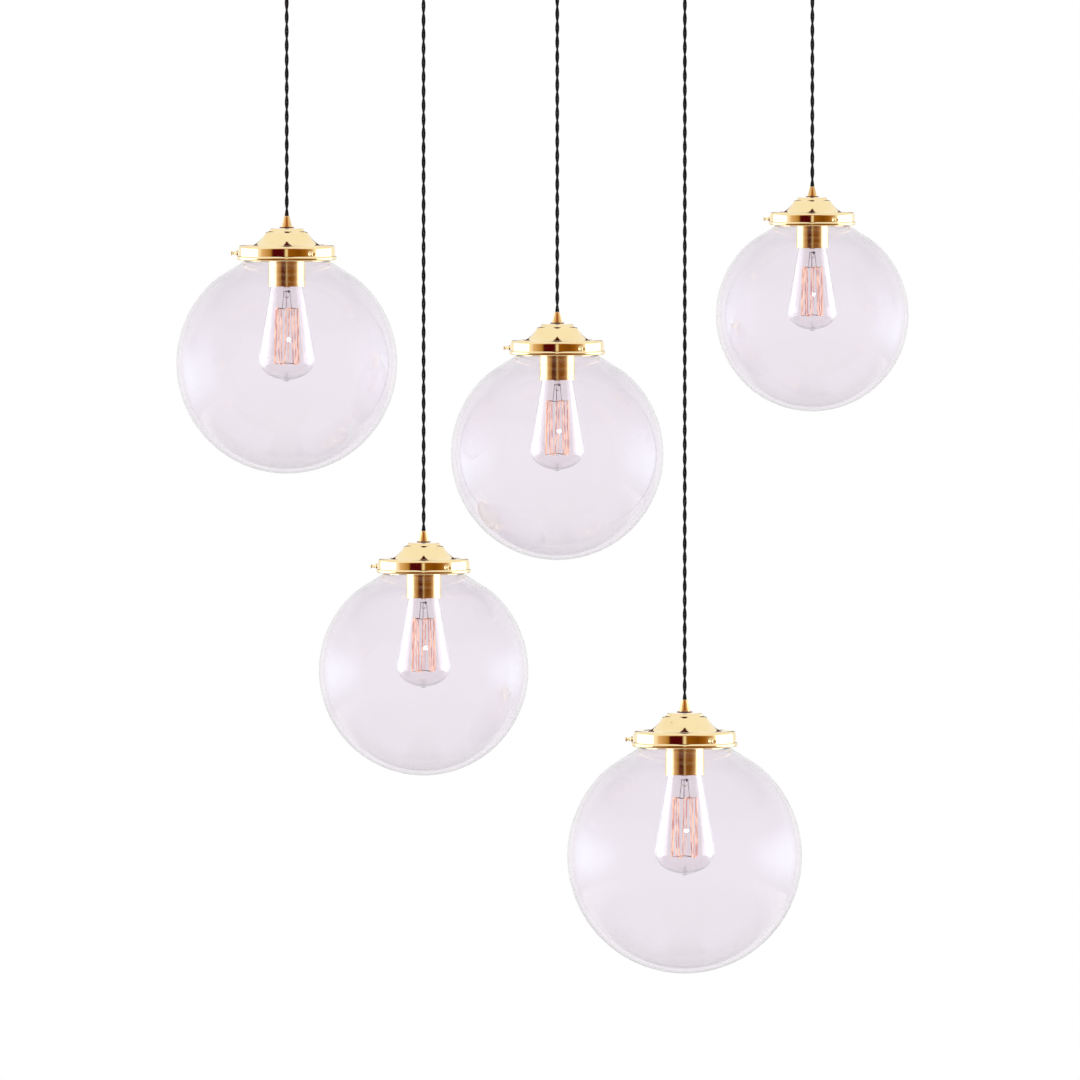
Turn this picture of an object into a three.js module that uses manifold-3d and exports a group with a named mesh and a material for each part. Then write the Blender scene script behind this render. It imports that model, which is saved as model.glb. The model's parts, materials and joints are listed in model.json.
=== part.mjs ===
import * as THREE from 'three';
import { mergeVertices } from 'three/addons/utils/BufferGeometryUtils.js';
import Module from 'manifold-3d';

const wasm = await Module();
wasm.setup();

// Linear bubble chandelier: five clear glass globes, each on its own twisted flex,
// hang at stepped heights under one long brass canopy.
// Millimetres, +Z up. The origin is the middle of the face that lies on the ceiling.

// Fit between the pieces
const seatGap = 0.3;
const swingGap = 0.5; // under a ceiling grip, so that the flex can tilt there
const overrun = 2; // how far a cut runs past what it cuts

// Where the pendants hang
const pendantSpan = 622.3; // between the two outer flexes
const shortestDrop = 430; // ceiling to the centre of the highest globe
const dropSpan = 641.5; // centre of the highest globe to the centre of the lowest
const pendants = [
  { number: 1, placeShare: -1, dropShare: 0.089, sizeShare: 1.046 },
  { number: 2, placeShare: -0.4794, dropShare: 0.657, sizeShare: 0.993 },
  { number: 3, placeShare: 0.0293, dropShare: 0.2562, sizeShare: 1.007 },
  { number: 4, placeShare: 0.5148, dropShare: 1, sizeShare: 1.1125 },
  { number: 5, placeShare: 1, dropShare: 0, sizeShare: 0.9125 },
];

// Canopy, a folded pan that covers the wiring
const canopyOverhang = 68.85; // past the two outer flexes
const canopyWidth = 110;
const canopyDepth = 30;
const canopyWall = 1.5;
const canopyCornerRadius = 14;
const canopyEdgeRadius = 2.5;

// Bracket that is screwed to the ceiling inside the canopy
const bracketInset = 60; // from each end of the canopy
const bracketWidth = 26;
const bracketThickness = 3;
const bracketCornerRadius = 6.5;
const studInset = 80; // from each end of the bracket
const studDiameter = 5;
const slotLength = 22;
const slotWidth = 6;
const slotInset = 40; // from each end of the bracket
const cableHoleDiameter = 16;
const cableHoleOffset = 62; // from the middle of the bracket

// Knurled nuts that hold the canopy up on the bracket's studs
const canopyNutDiameter = 14;
const canopyNutHeight = 9;
const canopyNutCrown = 2.5;

// Terminal block under the bracket
const blockLength = 58;
const blockWidth = 20;
const blockHeight = 15;
const blockPoles = 3;
const blockGrooveWidth = 2.5;
const blockGrooveDepth = 4;
const blockGrooveRadius = 0.6;

// Twisted flex, as the round space that its two cores sweep
const flexDiameter = 4.8;

// Cord grip, on a globe of size 1
const gripFlangeDiameter = 16.3;
const gripFlangeThickness = 1.5;
const gripConeHeight = 12.2;
const gripConeBaseDiameter = 12;
const gripConeTopDiameter = 6;
const gripShankDiameter = 10;
const gripShankLength = 9;
const gripNutDiameter = 15;
const gripNutThickness = 3;

// Gallery, the spun brass bell that carries the globe, on a globe of size 1
const galleryWall = 1.2;
const galleryTopRadius = 18.8; // of the low step on top
const galleryStepRadius = 20.2;
const galleryStepDepth = 2.6;
const flareRadius = 23.6; // where the flare starts
const flareDepth = 4.3;
const flareFootRadius = 39; // where it ends in a shallow groove
const flareFootDepth = 18.6;
const flareTopShares = [1.165, 0.51]; // pull of its curve, of its first radius and its last depth
const flareFootShares = [0.85, 0.85]; // and of its last radius and its last depth
const shoulderStartRadius = 43;
const shoulderDepth = 18.2; // top of the shoulder over the band
const shoulderCornerRadius = 4.4;
const galleryBandRadius = 55;
const galleryRollRadius = 2.4; // of the rolled bead at the foot
const galleryRollProud = 1.9; // past the band
const galleryDepth = 35.8;
const galleryWallInsideRadius = 53.7;

// Thumb screws, three round each gallery, on a globe of size 1
const screwDepth = 28; // below the gallery's flat top
const screwShankDiameter = 3.4;
const bossDiameter = 6;
const bossLength = 2.2;
const knobBallDiameter = 4.2;
const knobBallLength = 2.4;
const knobWaistDiameter = 2.6;
const knobWaistLength = 1.4;
const knobDiscDiameter = 4.4;
const knobDiscLength = 2.1;
const screwDirections = [
  { side: 'left', turns: 1 / 2 },
  { side: 'front', turns: -1 / 6 },
  { side: 'back', turns: 1 / 6 },
];

// Lampholder, on a globe of size 1
const holderRadius = 20.95;
const holderTopRadius = 13;
const holderShoulderDepth = 10; // below the gallery's flat top
const holderBelowGallery = 29.6;
const holderSkirtWall = 1;
const holderNeckRoom = 14; // recess that takes the bulb's glass neck
const holderContactGap = 1; // above the lamp cap

// Lamp cap, the same on every bulb
const capDiameter = 26;
const capLength = 25;
const capShoulderLength = 4;
const capContactDiameter = 10;

// Bulb, on a globe of size 1; depths are from the foot of the lampholder
const bulbWall = 1;
const bulbMouthRadius = 12.8;
const bulbNeckRadius = 18.5;
const bulbRadius = 32;
const bulbTaperDepth = 68; // where the straight taper ends
const bulbTaperRadius = 30.2;
const bulbWidestDepth = 82.7;
const bulbLength = 106;

// Glass stem and squirrel-cage filament, on a globe of size 1
const stemFlareRadius = 8;
const stemRadius = 3.2;
const stemDepth = 12; // foot of the thick part of the stem
const rodRadius = 1.4;
const cageTopDepth = 25.5;
const cageHeight = 63;
const cageTopRadius = 12.75;
const cageFootRadius = 13.8;
const cageStrands = 10; // an even number, joined in hairpins
const filamentRadius = 0.55;

// Globe, of size 1
const globeDiameter = 250;
const globeWall = 5;
const globeFloor = 6;
const globeBelowGallery = 116.9; // foot of the gallery to the centre of the globe
const neckRadius = 48.5;
const neckBore = 43.3; // radius of the mouth
const beadRadius = 50;
const beadFoot = 3.4; // above the foot of the gallery
const neckRise = 11.6; // top of the neck above the foot of the gallery

// How round the turned pieces and the corners are
const globeSides = 18; // an odd multiple of six turns a flat to each thumb screw
const globeRings = 4; // in each quarter of the outside
const globeInsideRings = 3;
const gallerySides = 16;
const flareSteps = 3;
const shoulderSteps = 2;
const rollSteps = 3;
const bossSides = 6;
const holderSides = 10;
const bulbSides = 10;
const bulbEndRings = 3;
const gripSides = 8;
const mountSides = 8;
const nutSides = 6;
const screwSides = 6;
const flexSides = 8;
const flexStep = 55;
const wireSides = 3;
const cornerSegments = 2;
const edgeSegments = 1;

const canopyLength = pendantSpan + 2 * canopyOverhang;
const bracketLength = canopyLength - 2 * bracketInset;
const studSpacing = bracketLength - 2 * studInset;
const slotSpacing = bracketLength - 2 * slotInset;

const paint = (color, roughness, metalness, extra = {}) =>
  new THREE.MeshStandardMaterial({ color, roughness, metalness, ...extra });
const polishedBrass = () => paint(0xe9c071, 0.16, 1);
const holderBrass = () => paint(0xd9a94f, 0.28, 1);
const clearGlass = () => paint(0xf2eef6, 0.03, 0, { transparent: true, opacity: 0.22 });
const bulbGlass = () => paint(0xf6f1f6, 0.03, 0, { transparent: true, opacity: 0.3 });
const filamentWire = () => paint(0xe59a6a, 0.4, 0.6);
const blackFabric = () => paint(0x14100f, 0.85, 0);
const zincSteel = () => paint(0xb4b6b8, 0.4, 1);
const whitePlastic = () => paint(0xe9e8e2, 0.5, 0);

function solid(geometry) {
  const plain = geometry.clone();
  plain.deleteAttribute('normal');
  plain.deleteAttribute('uv');
  const merged = mergeVertices(plain);
  const index = merged.index.array;
  const corners = [];
  for (let i = 0; i < index.length; i += 3) {
    const [a, b, c] = [index[i], index[i + 1], index[i + 2]];
    if (a !== b && b !== c && c !== a) corners.push(a, b, c);
  }
  return new wasm.Manifold(new wasm.Mesh({
    numProp: 3,
    vertProperties: new Float32Array(merged.attributes.position.array),
    triVerts: new Uint32Array(corners),
  }));
}

function shaped(body) {
  const { vertProperties, triVerts } = body.getMesh();
  const geometry = new THREE.BufferGeometry();
  geometry.setAttribute('position', new THREE.BufferAttribute(vertProperties, 3));
  geometry.setIndex(new THREE.BufferAttribute(triVerts, 1));
  const flat = geometry.toNonIndexed();
  flat.computeVertexNormals();
  return flat;
}

function piece(name, body, material) {
  const mesh = new THREE.Mesh(shaped(body), material);
  mesh.name = name;
  return mesh;
}

// A profile of [radius, height] points, turned about Z. It runs anticlockwise in that plane,
// either from the axis back to the axis or, as a closed loop, round a bore.
function turned(profile, sides) {
  const closed = profile[0][0] > 0;
  const points = profile.map(([radius, height]) => new THREE.Vector2(radius, height));
  if (closed) points.push(points[0].clone());
  if (THREE.ShapeUtils.area(points) < 0) points.reverse();
  const geometry = new THREE.LatheGeometry(points, sides);
  return solid(geometry.rotateX(Math.PI / 2));
}

function roundBar(radius, bottom, top, sides) {
  return turned([[0, bottom], [radius, bottom], [radius, top], [0, top]], sides);
}

function roundedPlate(length, width, radius, bottom, top, bevel = 0) {
  const [x, y] = [length / 2 - bevel, width / 2 - bevel];
  const corner = radius - bevel;
  const outline = new THREE.Shape();
  outline.absarc(x - corner, y - corner, corner, 0, Math.PI / 2);
  outline.absarc(corner - x, y - corner, corner, Math.PI / 2, Math.PI);
  outline.absarc(corner - x, corner - y, corner, Math.PI, 3 * Math.PI / 2);
  outline.absarc(x - corner, corner - y, corner, 3 * Math.PI / 2, 2 * Math.PI);
  outline.closePath();
  const geometry = new THREE.ExtrudeGeometry(outline, {
    depth: top - bottom - 2 * bevel,
    curveSegments: cornerSegments,
    bevelEnabled: bevel > 0,
    bevelThickness: bevel,
    bevelSize: bevel,
    bevelSegments: edgeSegments,
  });
  return solid(geometry.translate(0, 0, bottom + bevel));
}

// Points along an ellipse, between two angles from straight up, for a profile round the axis
function arc([centreRadius, centreHeight], [across, along], from, to, steps) {
  return Array.from({ length: steps + 1 }, (_, i) => {
    const angle = from + (to - from) * i / steps;
    const radius = angle === Math.PI ? centreRadius : centreRadius + across * Math.sin(angle);
    return [radius, centreHeight + along * Math.cos(angle)];
  });
}

// A closed loop of thin wire round the Z axis, with a mitre at each bend
function wireLoop(points, radius) {
  const count = points.length;
  const at = (i) => points[(i + count) % count];
  const rings = points.flatMap((point, i) => {
    const before = point.clone().sub(at(i - 1)).normalize();
    const along = at(i + 1).clone().sub(point).normalize().add(before).normalize();
    const outward = new THREE.Vector3(point.x, point.y, 0).normalize();
    const across = outward.clone().cross(along).normalize();
    const mitre = 1 / along.dot(before);
    return Array.from({ length: wireSides }, (_, side) => {
      const angle = 2 * Math.PI * side / wireSides;
      return point.clone()
        .addScaledVector(across, radius * mitre * Math.cos(angle))
        .addScaledVector(outward, radius * Math.sin(angle));
    });
  });
  const corners = [];
  for (let i = 0; i < count; i++) {
    const far = ((i + 1) % count) * wireSides;
    for (let side = 0; side < wireSides; side++) {
      const next = (side + 1) % wireSides;
      const [a, b] = [i * wireSides + side, i * wireSides + next];
      corners.push(a, b, far + next, a, far + next, far + side);
    }
  }
  const geometry = new THREE.BufferGeometry().setFromPoints(rings);
  return solid(geometry.setIndex(corners));
}

function around(radius, turns, height) {
  const angle = 2 * Math.PI * turns;
  return new THREE.Vector3(radius * Math.cos(angle), radius * Math.sin(angle), height);
}

function gripBody(share) {
  const flange = gripFlangeThickness * share;
  return turned([
    [0, -gripShankLength],
    [gripShankDiameter / 2, -gripShankLength],
    [gripShankDiameter / 2, 0],
    [gripFlangeDiameter / 2 * share, 0],
    [gripFlangeDiameter / 2 * share, flange],
    [gripConeBaseDiameter / 2 * share, flange],
    [gripConeTopDiameter / 2 * share, flange + gripConeHeight * share],
    [0, flange + gripConeHeight * share],
  ], gripSides);
}

const gripHeight = (share) => (gripFlangeThickness + gripConeHeight) * share;

function canopy() {
  const hole = gripShankDiameter / 2 + seatGap;
  const studHole = studDiameter / 2 + seatGap;
  const roof = roundedPlate(canopyLength + overrun, canopyWidth + overrun,
    canopyCornerRadius, 0, canopyEdgeRadius + overrun);
  const room = roundedPlate(canopyLength - 2 * canopyWall, canopyWidth - 2 * canopyWall,
    canopyCornerRadius - canopyWall, canopyWall - canopyDepth, overrun);
  let pan = roundedPlate(canopyLength, canopyWidth, canopyCornerRadius,
    -canopyDepth, canopyEdgeRadius, canopyEdgeRadius);
  pan = pan.subtract(roof).subtract(room);
  const bore = (radius, x) => roundBar(radius, -canopyDepth - overrun, -canopyDepth + overrun,
    gripSides).translate([x, 0, 0]);
  for (const { placeShare } of pendants) {
    pan = pan.subtract(bore(hole, placeShare * pendantSpan / 2));
  }
  for (const side of [-1, 1]) pan = pan.subtract(bore(studHole, side * studSpacing / 2));
  return piece('canopy', pan, polishedBrass());
}

function bracket() {
  let strap = roundedPlate(bracketLength, bracketWidth, bracketCornerRadius, -bracketThickness, 0);
  const slot = (length, x) => roundedPlate(length, slotWidth, slotWidth / 2,
    -bracketThickness - overrun, overrun).translate([x, 0, 0]);
  strap = strap.subtract(roundBar(cableHoleDiameter / 2, -bracketThickness - overrun, overrun,
    gripSides).translate([cableHoleOffset, 0, 0]));
  for (const side of [-1, 1]) {
    const stud = roundBar(studDiameter / 2,
      -canopyDepth - canopyNutHeight + canopyNutCrown + seatGap, -bracketThickness / 2, screwSides);
    strap = strap.subtract(slot(slotLength, side * slotSpacing / 2));
    strap = strap.add(stud.translate([side * studSpacing / 2, 0, 0]));
  }
  return piece('ceiling_bracket', strap, zincSteel());
}

function canopyNut(name, x) {
  const radius = canopyNutDiameter / 2;
  const foot = -canopyNutHeight;
  const bore = studDiameter / 2 + seatGap;
  const nut = turned([
    [0, foot],
    [radius - canopyNutCrown, foot],
    [radius, foot + canopyNutCrown],
    [radius, 0],
    [bore, 0],
    [bore, foot + canopyNutCrown],
    [0, foot + canopyNutCrown],
  ], gripSides);
  const mesh = piece(name, nut, polishedBrass());
  mesh.position.set(x, 0, -canopyDepth - seatGap);
  return mesh;
}

function terminalBlock() {
  const pitch = blockLength / blockPoles;
  let block = roundedPlate(blockLength, blockWidth, blockGrooveWidth, -blockHeight, 0);
  for (let pole = 1; pole < blockPoles; pole++) {
    const groove = roundedPlate(blockGrooveWidth, blockWidth + 2 * overrun, blockGrooveRadius,
      -blockHeight - overrun, blockGrooveDepth - blockHeight);
    block = block.subtract(groove.translate([pole * pitch - blockLength / 2, 0, 0]));
  }
  const mesh = piece('terminal_block', block, whitePlastic());
  mesh.position.z = -bracketThickness - seatGap;
  return mesh;
}

function ceilingGrip(number, x) {
  const nutFoot = -canopyWall - 2 * seatGap;
  const nut = roundBar(gripNutDiameter / 2, nutFoot - gripNutThickness, nutFoot, nutSides);
  const grip = gripBody(1).add(nut);
  const mesh = piece(`ceiling_grip_${number}`, grip, polishedBrass());
  mesh.rotation.x = Math.PI;
  mesh.position.set(x, 0, -canopyDepth - seatGap);
  return mesh;
}

function flex(number, length) {
  const rim = Array.from({ length: flexSides }, (_, side) =>
    around(flexDiameter / 2, side / flexSides, 0));
  const section = new THREE.Shape(rim.map(({ x, y }) => new THREE.Vector2(x, y)));
  const tube = new THREE.ExtrudeGeometry(section, {
    steps: Math.round(length / flexStep),
    bevelEnabled: false,
    extrudePath: new THREE.LineCurve3(new THREE.Vector3(), new THREE.Vector3(0, 0, length)),
  });
  return piece(`flex_${number}`, solid(tube), blackFabric());
}

function gallery(number, s) {
  const bore = gripShankDiameter / 2 + seatGap;
  const [topOut, topDown] = flareTopShares;
  const [footOut, footDown] = flareFootShares;
  const flare = new THREE.CubicBezierCurve(
    new THREE.Vector2(flareRadius, -flareDepth),
    new THREE.Vector2(flareRadius * topOut, -flareFootDepth * topDown),
    new THREE.Vector2(flareFootRadius * footOut, -flareFootDepth * footDown),
    new THREE.Vector2(flareFootRadius, -flareFootDepth),
  );
  const flared = flare.getPoints(flareSteps).map((point) => [point.x * s, point.y * s]);
  const corner = shoulderCornerRadius * s;
  const roll = galleryRollRadius * s;
  const rollCentre = [(galleryBandRadius + galleryRollProud) * s - roll, -galleryDepth * s + roll];
  const rollTop = Math.asin(1 - galleryRollProud / galleryRollRadius);
  const outside = [
    [bore, 0],
    [galleryTopRadius * s, 0],
    [galleryStepRadius * s, -galleryStepDepth * s],
    ...flared,
    [shoulderStartRadius * s, -shoulderDepth * s],
    ...arc([galleryBandRadius * s - corner, -shoulderDepth * s - corner], [corner, corner],
      0, Math.PI / 2, shoulderSteps),
    ...arc(rollCentre, [roll, roll], rollTop, Math.PI, rollSteps),
  ];
  const inside = [
    [galleryWallInsideRadius * s, -galleryDepth * s],
    [galleryWallInsideRadius * s, -shoulderDepth * s - corner],
    [shoulderStartRadius * s, -flareFootDepth * s - galleryWall],
    ...flared.slice(1).reverse().map(([radius, height]) => [radius - galleryWall, height - galleryWall]),
    [galleryStepRadius * s - galleryWall, -flareDepth * s],
    [galleryTopRadius * s - galleryWall, -galleryWall],
    [bore, -galleryWall],
  ];
  let bell = turned([...outside, ...inside], gallerySides);
  const root = galleryWallInsideRadius * s;
  const end = (galleryBandRadius + bossLength) * s;
  for (const { turns } of screwDirections) {
    const place = (body) => body.rotate([0, 90, 360 * turns])
      .translate([0, 0, -screwDepth * s]);
    bell = bell.add(place(roundBar(bossDiameter / 2 * s, root, end, bossSides)));
    bell = bell.subtract(place(roundBar(screwShankDiameter / 2 + seatGap,
      root - 2 * galleryWall, end + overrun, bossSides)));
  }
  return piece(`gallery_${number}`, bell, polishedBrass());
}

function thumbScrew(number, side, turns, s) {
  const shank = screwShankDiameter / 2;
  const tip = beadRadius * Math.cos(Math.PI / globeSides) * s + seatGap; // a flat of the bead faces it
  const headStart = (galleryBandRadius + bossLength) * s + seatGap;
  const ballEnd = headStart + knobBallLength * s;
  const waistEnd = ballEnd + knobWaistLength * s;
  const screw = turned([
    [0, tip],
    [shank, tip],
    [shank, headStart],
    [knobBallDiameter / 2 * s, headStart + knobBallLength / 2 * s],
    [knobWaistDiameter / 2 * s, ballEnd],
    [knobWaistDiameter / 2 * s, waistEnd],
    [knobDiscDiameter / 2 * s, waistEnd],
    [knobDiscDiameter / 2 * s, waistEnd + knobDiscLength * s],
    [0, waistEnd + knobDiscLength * s],
  ], screwSides);
  const mesh = piece(`thumbscrew_${number}_${side}`, screw, polishedBrass());
  mesh.rotation.set(0, Math.PI / 2, 2 * Math.PI * turns, 'ZYX');
  mesh.position.z = -screwDepth * s;
  return mesh;
}

const holderFoot = (s) => -(galleryDepth + holderBelowGallery) * s;

function lampholder(number, s) {
  const top = -galleryWall - seatGap;
  const foot = holderFoot(s);
  const inside = (holderRadius - holderSkirtWall) * s;
  const shelf = foot + holderNeckRoom * s;
  const roundOver = 1 / Math.cos(Math.PI / holderSides); // a faceted bore clears a round piece
  const bore = (capDiameter / 2 + seatGap) * roundOver;
  const channel = (gripShankDiameter / 2 + seatGap) * roundOver;
  const boreTop = shelf + capLength + holderContactGap;
  const holder = turned([
    [channel, top],
    [channel, boreTop],
    [bore, boreTop],
    [bore, shelf],
    [inside, shelf],
    [inside, foot],
    [holderRadius * s, foot],
    [holderRadius * s, -holderShoulderDepth * s],
    [holderTopRadius * s, top],
  ], holderSides);
  return piece(`lampholder_${number}`, holder, holderBrass());
}

function bulbOutline(s, wall) {
  const foot = holderFoot(s);
  const radius = bulbRadius * s - wall;
  const widest = foot - bulbWidestDepth * s;
  const bottom = (bulbLength - bulbWidestDepth) * s - wall;
  return [
    [bulbMouthRadius - wall, foot + holderNeckRoom * s],
    [bulbNeckRadius * s - wall, foot],
    [bulbTaperRadius * s - wall, foot - bulbTaperDepth * s],
    ...arc([0, widest], [radius, bottom], Math.PI / 2, Math.PI, bulbEndRings),
  ];
}

function bulbEnvelope(number, s) {
  const profile = [...bulbOutline(s, 0).reverse(), ...bulbOutline(s, bulbWall)];
  return piece(`bulb_glass_${number}`, turned(profile, bulbSides), bulbGlass());
}

// Arms from the glass rod to every second bend of the filament
function spider(radius, height, firstBend) {
  const reach = radius * Math.cos(Math.PI / cageStrands);
  const root = rodRadius * Math.SQRT1_2;
  const outline = [];
  for (let bend = firstBend; bend < cageStrands; bend += 2) {
    const along = around(1, bend / cageStrands, 0);
    const across = around(filamentRadius, bend / cageStrands + 1 / 4, 0);
    for (const [out, side] of [[root, -1], [reach, -1], [reach, 1], [root, 1]]) {
      outline.push(new THREE.Vector2(along.x * out + across.x * side, along.y * out + across.y * side));
    }
  }
  const arms = new THREE.ExtrudeGeometry(new THREE.Shape(outline), {
    depth: 2 * filamentRadius,
    bevelEnabled: false,
  });
  return solid(arms.translate(0, 0, height - filamentRadius));
}

// Lamp cap, glass stem and the hairpin filament on its two spiders
function bulbMount(number, s) {
  const foot = holderFoot(s);
  const capFoot = foot + holderNeckRoom * s + seatGap;
  const capTop = capFoot + capLength - seatGap;
  const cageTop = foot - cageTopDepth * s;
  const cageFoot = cageTop - cageHeight * s;
  let mount = turned([
    [0, cageFoot - rodRadius * s],
    [rodRadius * s, cageFoot - rodRadius * s],
    [rodRadius * s, foot - stemDepth * s],
    [stemRadius * s, foot - stemDepth * s],
    [stemRadius * s, foot],
    [stemFlareRadius, capFoot],
    [capDiameter / 2, capFoot],
    [capDiameter / 2, capTop - capShoulderLength],
    [capContactDiameter / 2, capTop],
    [0, capTop],
  ], mountSides);
  const strand = (i) => {
    const turns = (i + 1 / 2) / cageStrands;
    const ends = [around(cageTopRadius * s, turns, cageTop), around(cageFootRadius * s, turns, cageFoot)];
    return i % 2 ? ends.reverse() : ends;
  };
  const hairpins = Array.from({ length: cageStrands }, (_, i) => strand(i)).flat();
  mount = mount.add(wireLoop(hairpins, filamentRadius));
  mount = mount.add(spider(cageTopRadius * s, cageTop, 0)).add(spider(cageFootRadius * s, cageFoot, 1));
  return piece(`bulb_mount_${number}`, mount, filamentWire());
}

function globe(number, s) {
  const galleryFoot = -galleryDepth * s;
  const centre = galleryFoot - globeBelowGallery * s;
  const radius = globeDiameter / 2 * s;
  const inner = radius - globeWall * s;
  const innerCentre = centre + (globeFloor - globeWall) * s;
  const neckAngle = Math.asin(neckRadius * s / radius);
  const boreAngle = Math.asin(neckBore * s / inner);
  const quarter = Math.PI / 2;
  const outside = [
    ...arc([0, centre], [radius, radius], neckAngle, quarter, globeRings),
    ...arc([0, centre], [radius, radius], quarter, 2 * quarter, globeRings).slice(1),
  ];
  const inside = [
    ...arc([0, innerCentre], [inner, inner], boreAngle, quarter, globeInsideRings),
    ...arc([0, innerCentre], [inner, inner], quarter, 2 * quarter, globeInsideRings).slice(1),
  ];
  const neck = [
    [neckBore * s, galleryFoot + neckRise * s],
    [beadRadius * s, galleryFoot + neckRise * s],
    [beadRadius * s, galleryFoot + beadFoot * s],
    [neckRadius * s, galleryFoot + (beadFoot - (beadRadius - neckRadius)) * s],
  ];
  const profile = [...inside.reverse(), ...neck, ...outside];
  return piece(`globe_${number}`, turned(profile, globeSides), clearGlass());
}

function pendant({ number, placeShare, dropShare, sizeShare }) {
  const s = sizeShare;
  const group = new THREE.Group();
  const drop = shortestDrop + dropShare * dropSpan;
  const galleryTop = -drop + (globeBelowGallery + galleryDepth) * s;
  group.position.set(placeShare * pendantSpan / 2, 0, galleryTop);
  const grip = piece(`cord_grip_${number}`, gripBody(s), polishedBrass());
  grip.position.z = seatGap;
  group.add(grip, gallery(number, s), lampholder(number, s));
  for (const { side, turns } of screwDirections) group.add(thumbScrew(number, side, turns, s));
  group.add(globe(number, s), bulbEnvelope(number, s), bulbMount(number, s));
  const cordFoot = 2 * seatGap + gripHeight(s);
  const cordTop = -canopyDepth - seatGap - gripHeight(1) - swingGap - galleryTop;
  const cord = flex(number, cordTop - cordFoot);
  cord.position.z = cordFoot;
  group.add(cord);
  return group;
}

const chandelier = new THREE.Group();
chandelier.add(canopy(), bracket(), terminalBlock());
chandelier.add(canopyNut('canopy_nut_left', -studSpacing / 2));
chandelier.add(canopyNut('canopy_nut_right', studSpacing / 2));
for (const place of pendants) {
  chandelier.add(ceilingGrip(place.number, place.placeShare * pendantSpan / 2), pendant(place));
}

export default chandelier;
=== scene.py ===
import json
import math

import bmesh
import bpy
from mathutils import Matrix, Vector
from mathutils.geometry import interpolate_bezier

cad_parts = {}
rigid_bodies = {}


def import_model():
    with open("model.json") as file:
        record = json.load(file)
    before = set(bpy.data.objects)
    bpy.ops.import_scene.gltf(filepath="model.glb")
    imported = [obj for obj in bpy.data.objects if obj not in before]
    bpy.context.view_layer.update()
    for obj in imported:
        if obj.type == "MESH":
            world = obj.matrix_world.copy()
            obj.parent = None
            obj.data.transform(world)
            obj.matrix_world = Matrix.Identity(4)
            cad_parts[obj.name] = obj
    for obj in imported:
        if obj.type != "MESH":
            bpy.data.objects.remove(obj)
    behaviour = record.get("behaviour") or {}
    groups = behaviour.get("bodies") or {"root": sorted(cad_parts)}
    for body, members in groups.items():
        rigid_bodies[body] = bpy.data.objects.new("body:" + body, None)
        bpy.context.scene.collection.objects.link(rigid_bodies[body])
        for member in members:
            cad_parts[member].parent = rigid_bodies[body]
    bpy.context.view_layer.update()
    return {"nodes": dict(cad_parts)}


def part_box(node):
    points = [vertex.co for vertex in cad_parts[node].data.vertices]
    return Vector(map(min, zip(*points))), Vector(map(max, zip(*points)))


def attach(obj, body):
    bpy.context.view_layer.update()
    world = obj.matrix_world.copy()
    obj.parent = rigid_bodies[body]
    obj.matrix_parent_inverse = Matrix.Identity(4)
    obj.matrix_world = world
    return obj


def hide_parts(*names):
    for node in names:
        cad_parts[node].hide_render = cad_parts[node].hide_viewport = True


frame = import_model()
mm = 0.001
fullTurn = 2 * math.pi
up = Vector((0, 0, 1))
print("frame loaded:", len(frame["nodes"]), "nodes")


def linked(name, data):
    made = bpy.data.objects.new(name, data)
    bpy.context.scene.collection.objects.link(made)
    return made


# Camera: level and far away, as the five pendants are all seen from the same height
cameraSetup = {
    "frameWidth": 1279.6,  # mm that the picture spans at the pendants
    "middle": (-11.3, 0, -696.5),  # mm, what the middle of the picture looks at
    "elevation": 2,  # degrees above level
    "distance": 24000,  # mm
    "sensor": 36,
    "clipEnd": 200,  # m
}


def addCamera():
    data = bpy.data.cameras.new("camera")
    data.sensor_width = cameraSetup["sensor"]
    data.lens = cameraSetup["sensor"] * cameraSetup["distance"] / cameraSetup["frameWidth"]
    data.clip_end = cameraSetup["clipEnd"]
    camera = linked("camera", data)
    tilt = math.radians(cameraSetup["elevation"])
    away = Vector((0, -math.cos(tilt), math.sin(tilt))) * cameraSetup["distance"]
    camera.location = (Vector(cameraSetup["middle"]) + away) * mm
    camera.rotation_euler = (math.pi / 2 - tilt, 0, 0)
    bpy.context.scene.camera = camera


addCamera()
bpy.context.scene.view_settings.view_transform = "Standard"


# Node helpers
def addNode(tree, kind, **settings):
    made = tree.nodes.new(kind)
    for key, value in settings.items():
        setattr(made, key, value)
    return made


def feed(tree, socket, target):
    tree.links.new(socket, target)


def startMaterial(name):
    material = bpy.data.materials.new(name)
    material.use_nodes = True
    tree = material.node_tree
    return material, tree, tree.nodes["Principled BSDF"]


def preset(node, values):
    for name, value in values.items():
        node.inputs[name].default_value = value


def objectCoords(tree):
    return addNode(tree, "ShaderNodeTexCoord").outputs["Object"]


def partsOf(tree, vector):
    parts = addNode(tree, "ShaderNodeSeparateXYZ")
    feed(tree, vector, parts.inputs[0])
    return parts.outputs


def lengthOf(tree, vector):
    reach = addNode(tree, "ShaderNodeVectorMath", operation="LENGTH")
    feed(tree, vector, reach.inputs[0])
    return reach.outputs["Value"]


def noiseOf(tree, coords, scale, detail=3, roughness=0.5):
    noise = addNode(tree, "ShaderNodeTexNoise")
    preset(noise, {"Scale": scale, "Detail": detail, "Roughness": roughness})
    feed(tree, coords, noise.inputs["Vector"])
    return noise.outputs["Fac"]


def ranged(tree, value, low, high, fromLow=0.0, fromHigh=1.0):
    spread = addNode(tree, "ShaderNodeMapRange")
    preset(spread, {"From Min": fromLow, "From Max": fromHigh, "To Min": low, "To Max": high})
    feed(tree, value, spread.inputs["Value"])
    return spread.outputs["Result"]


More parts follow.
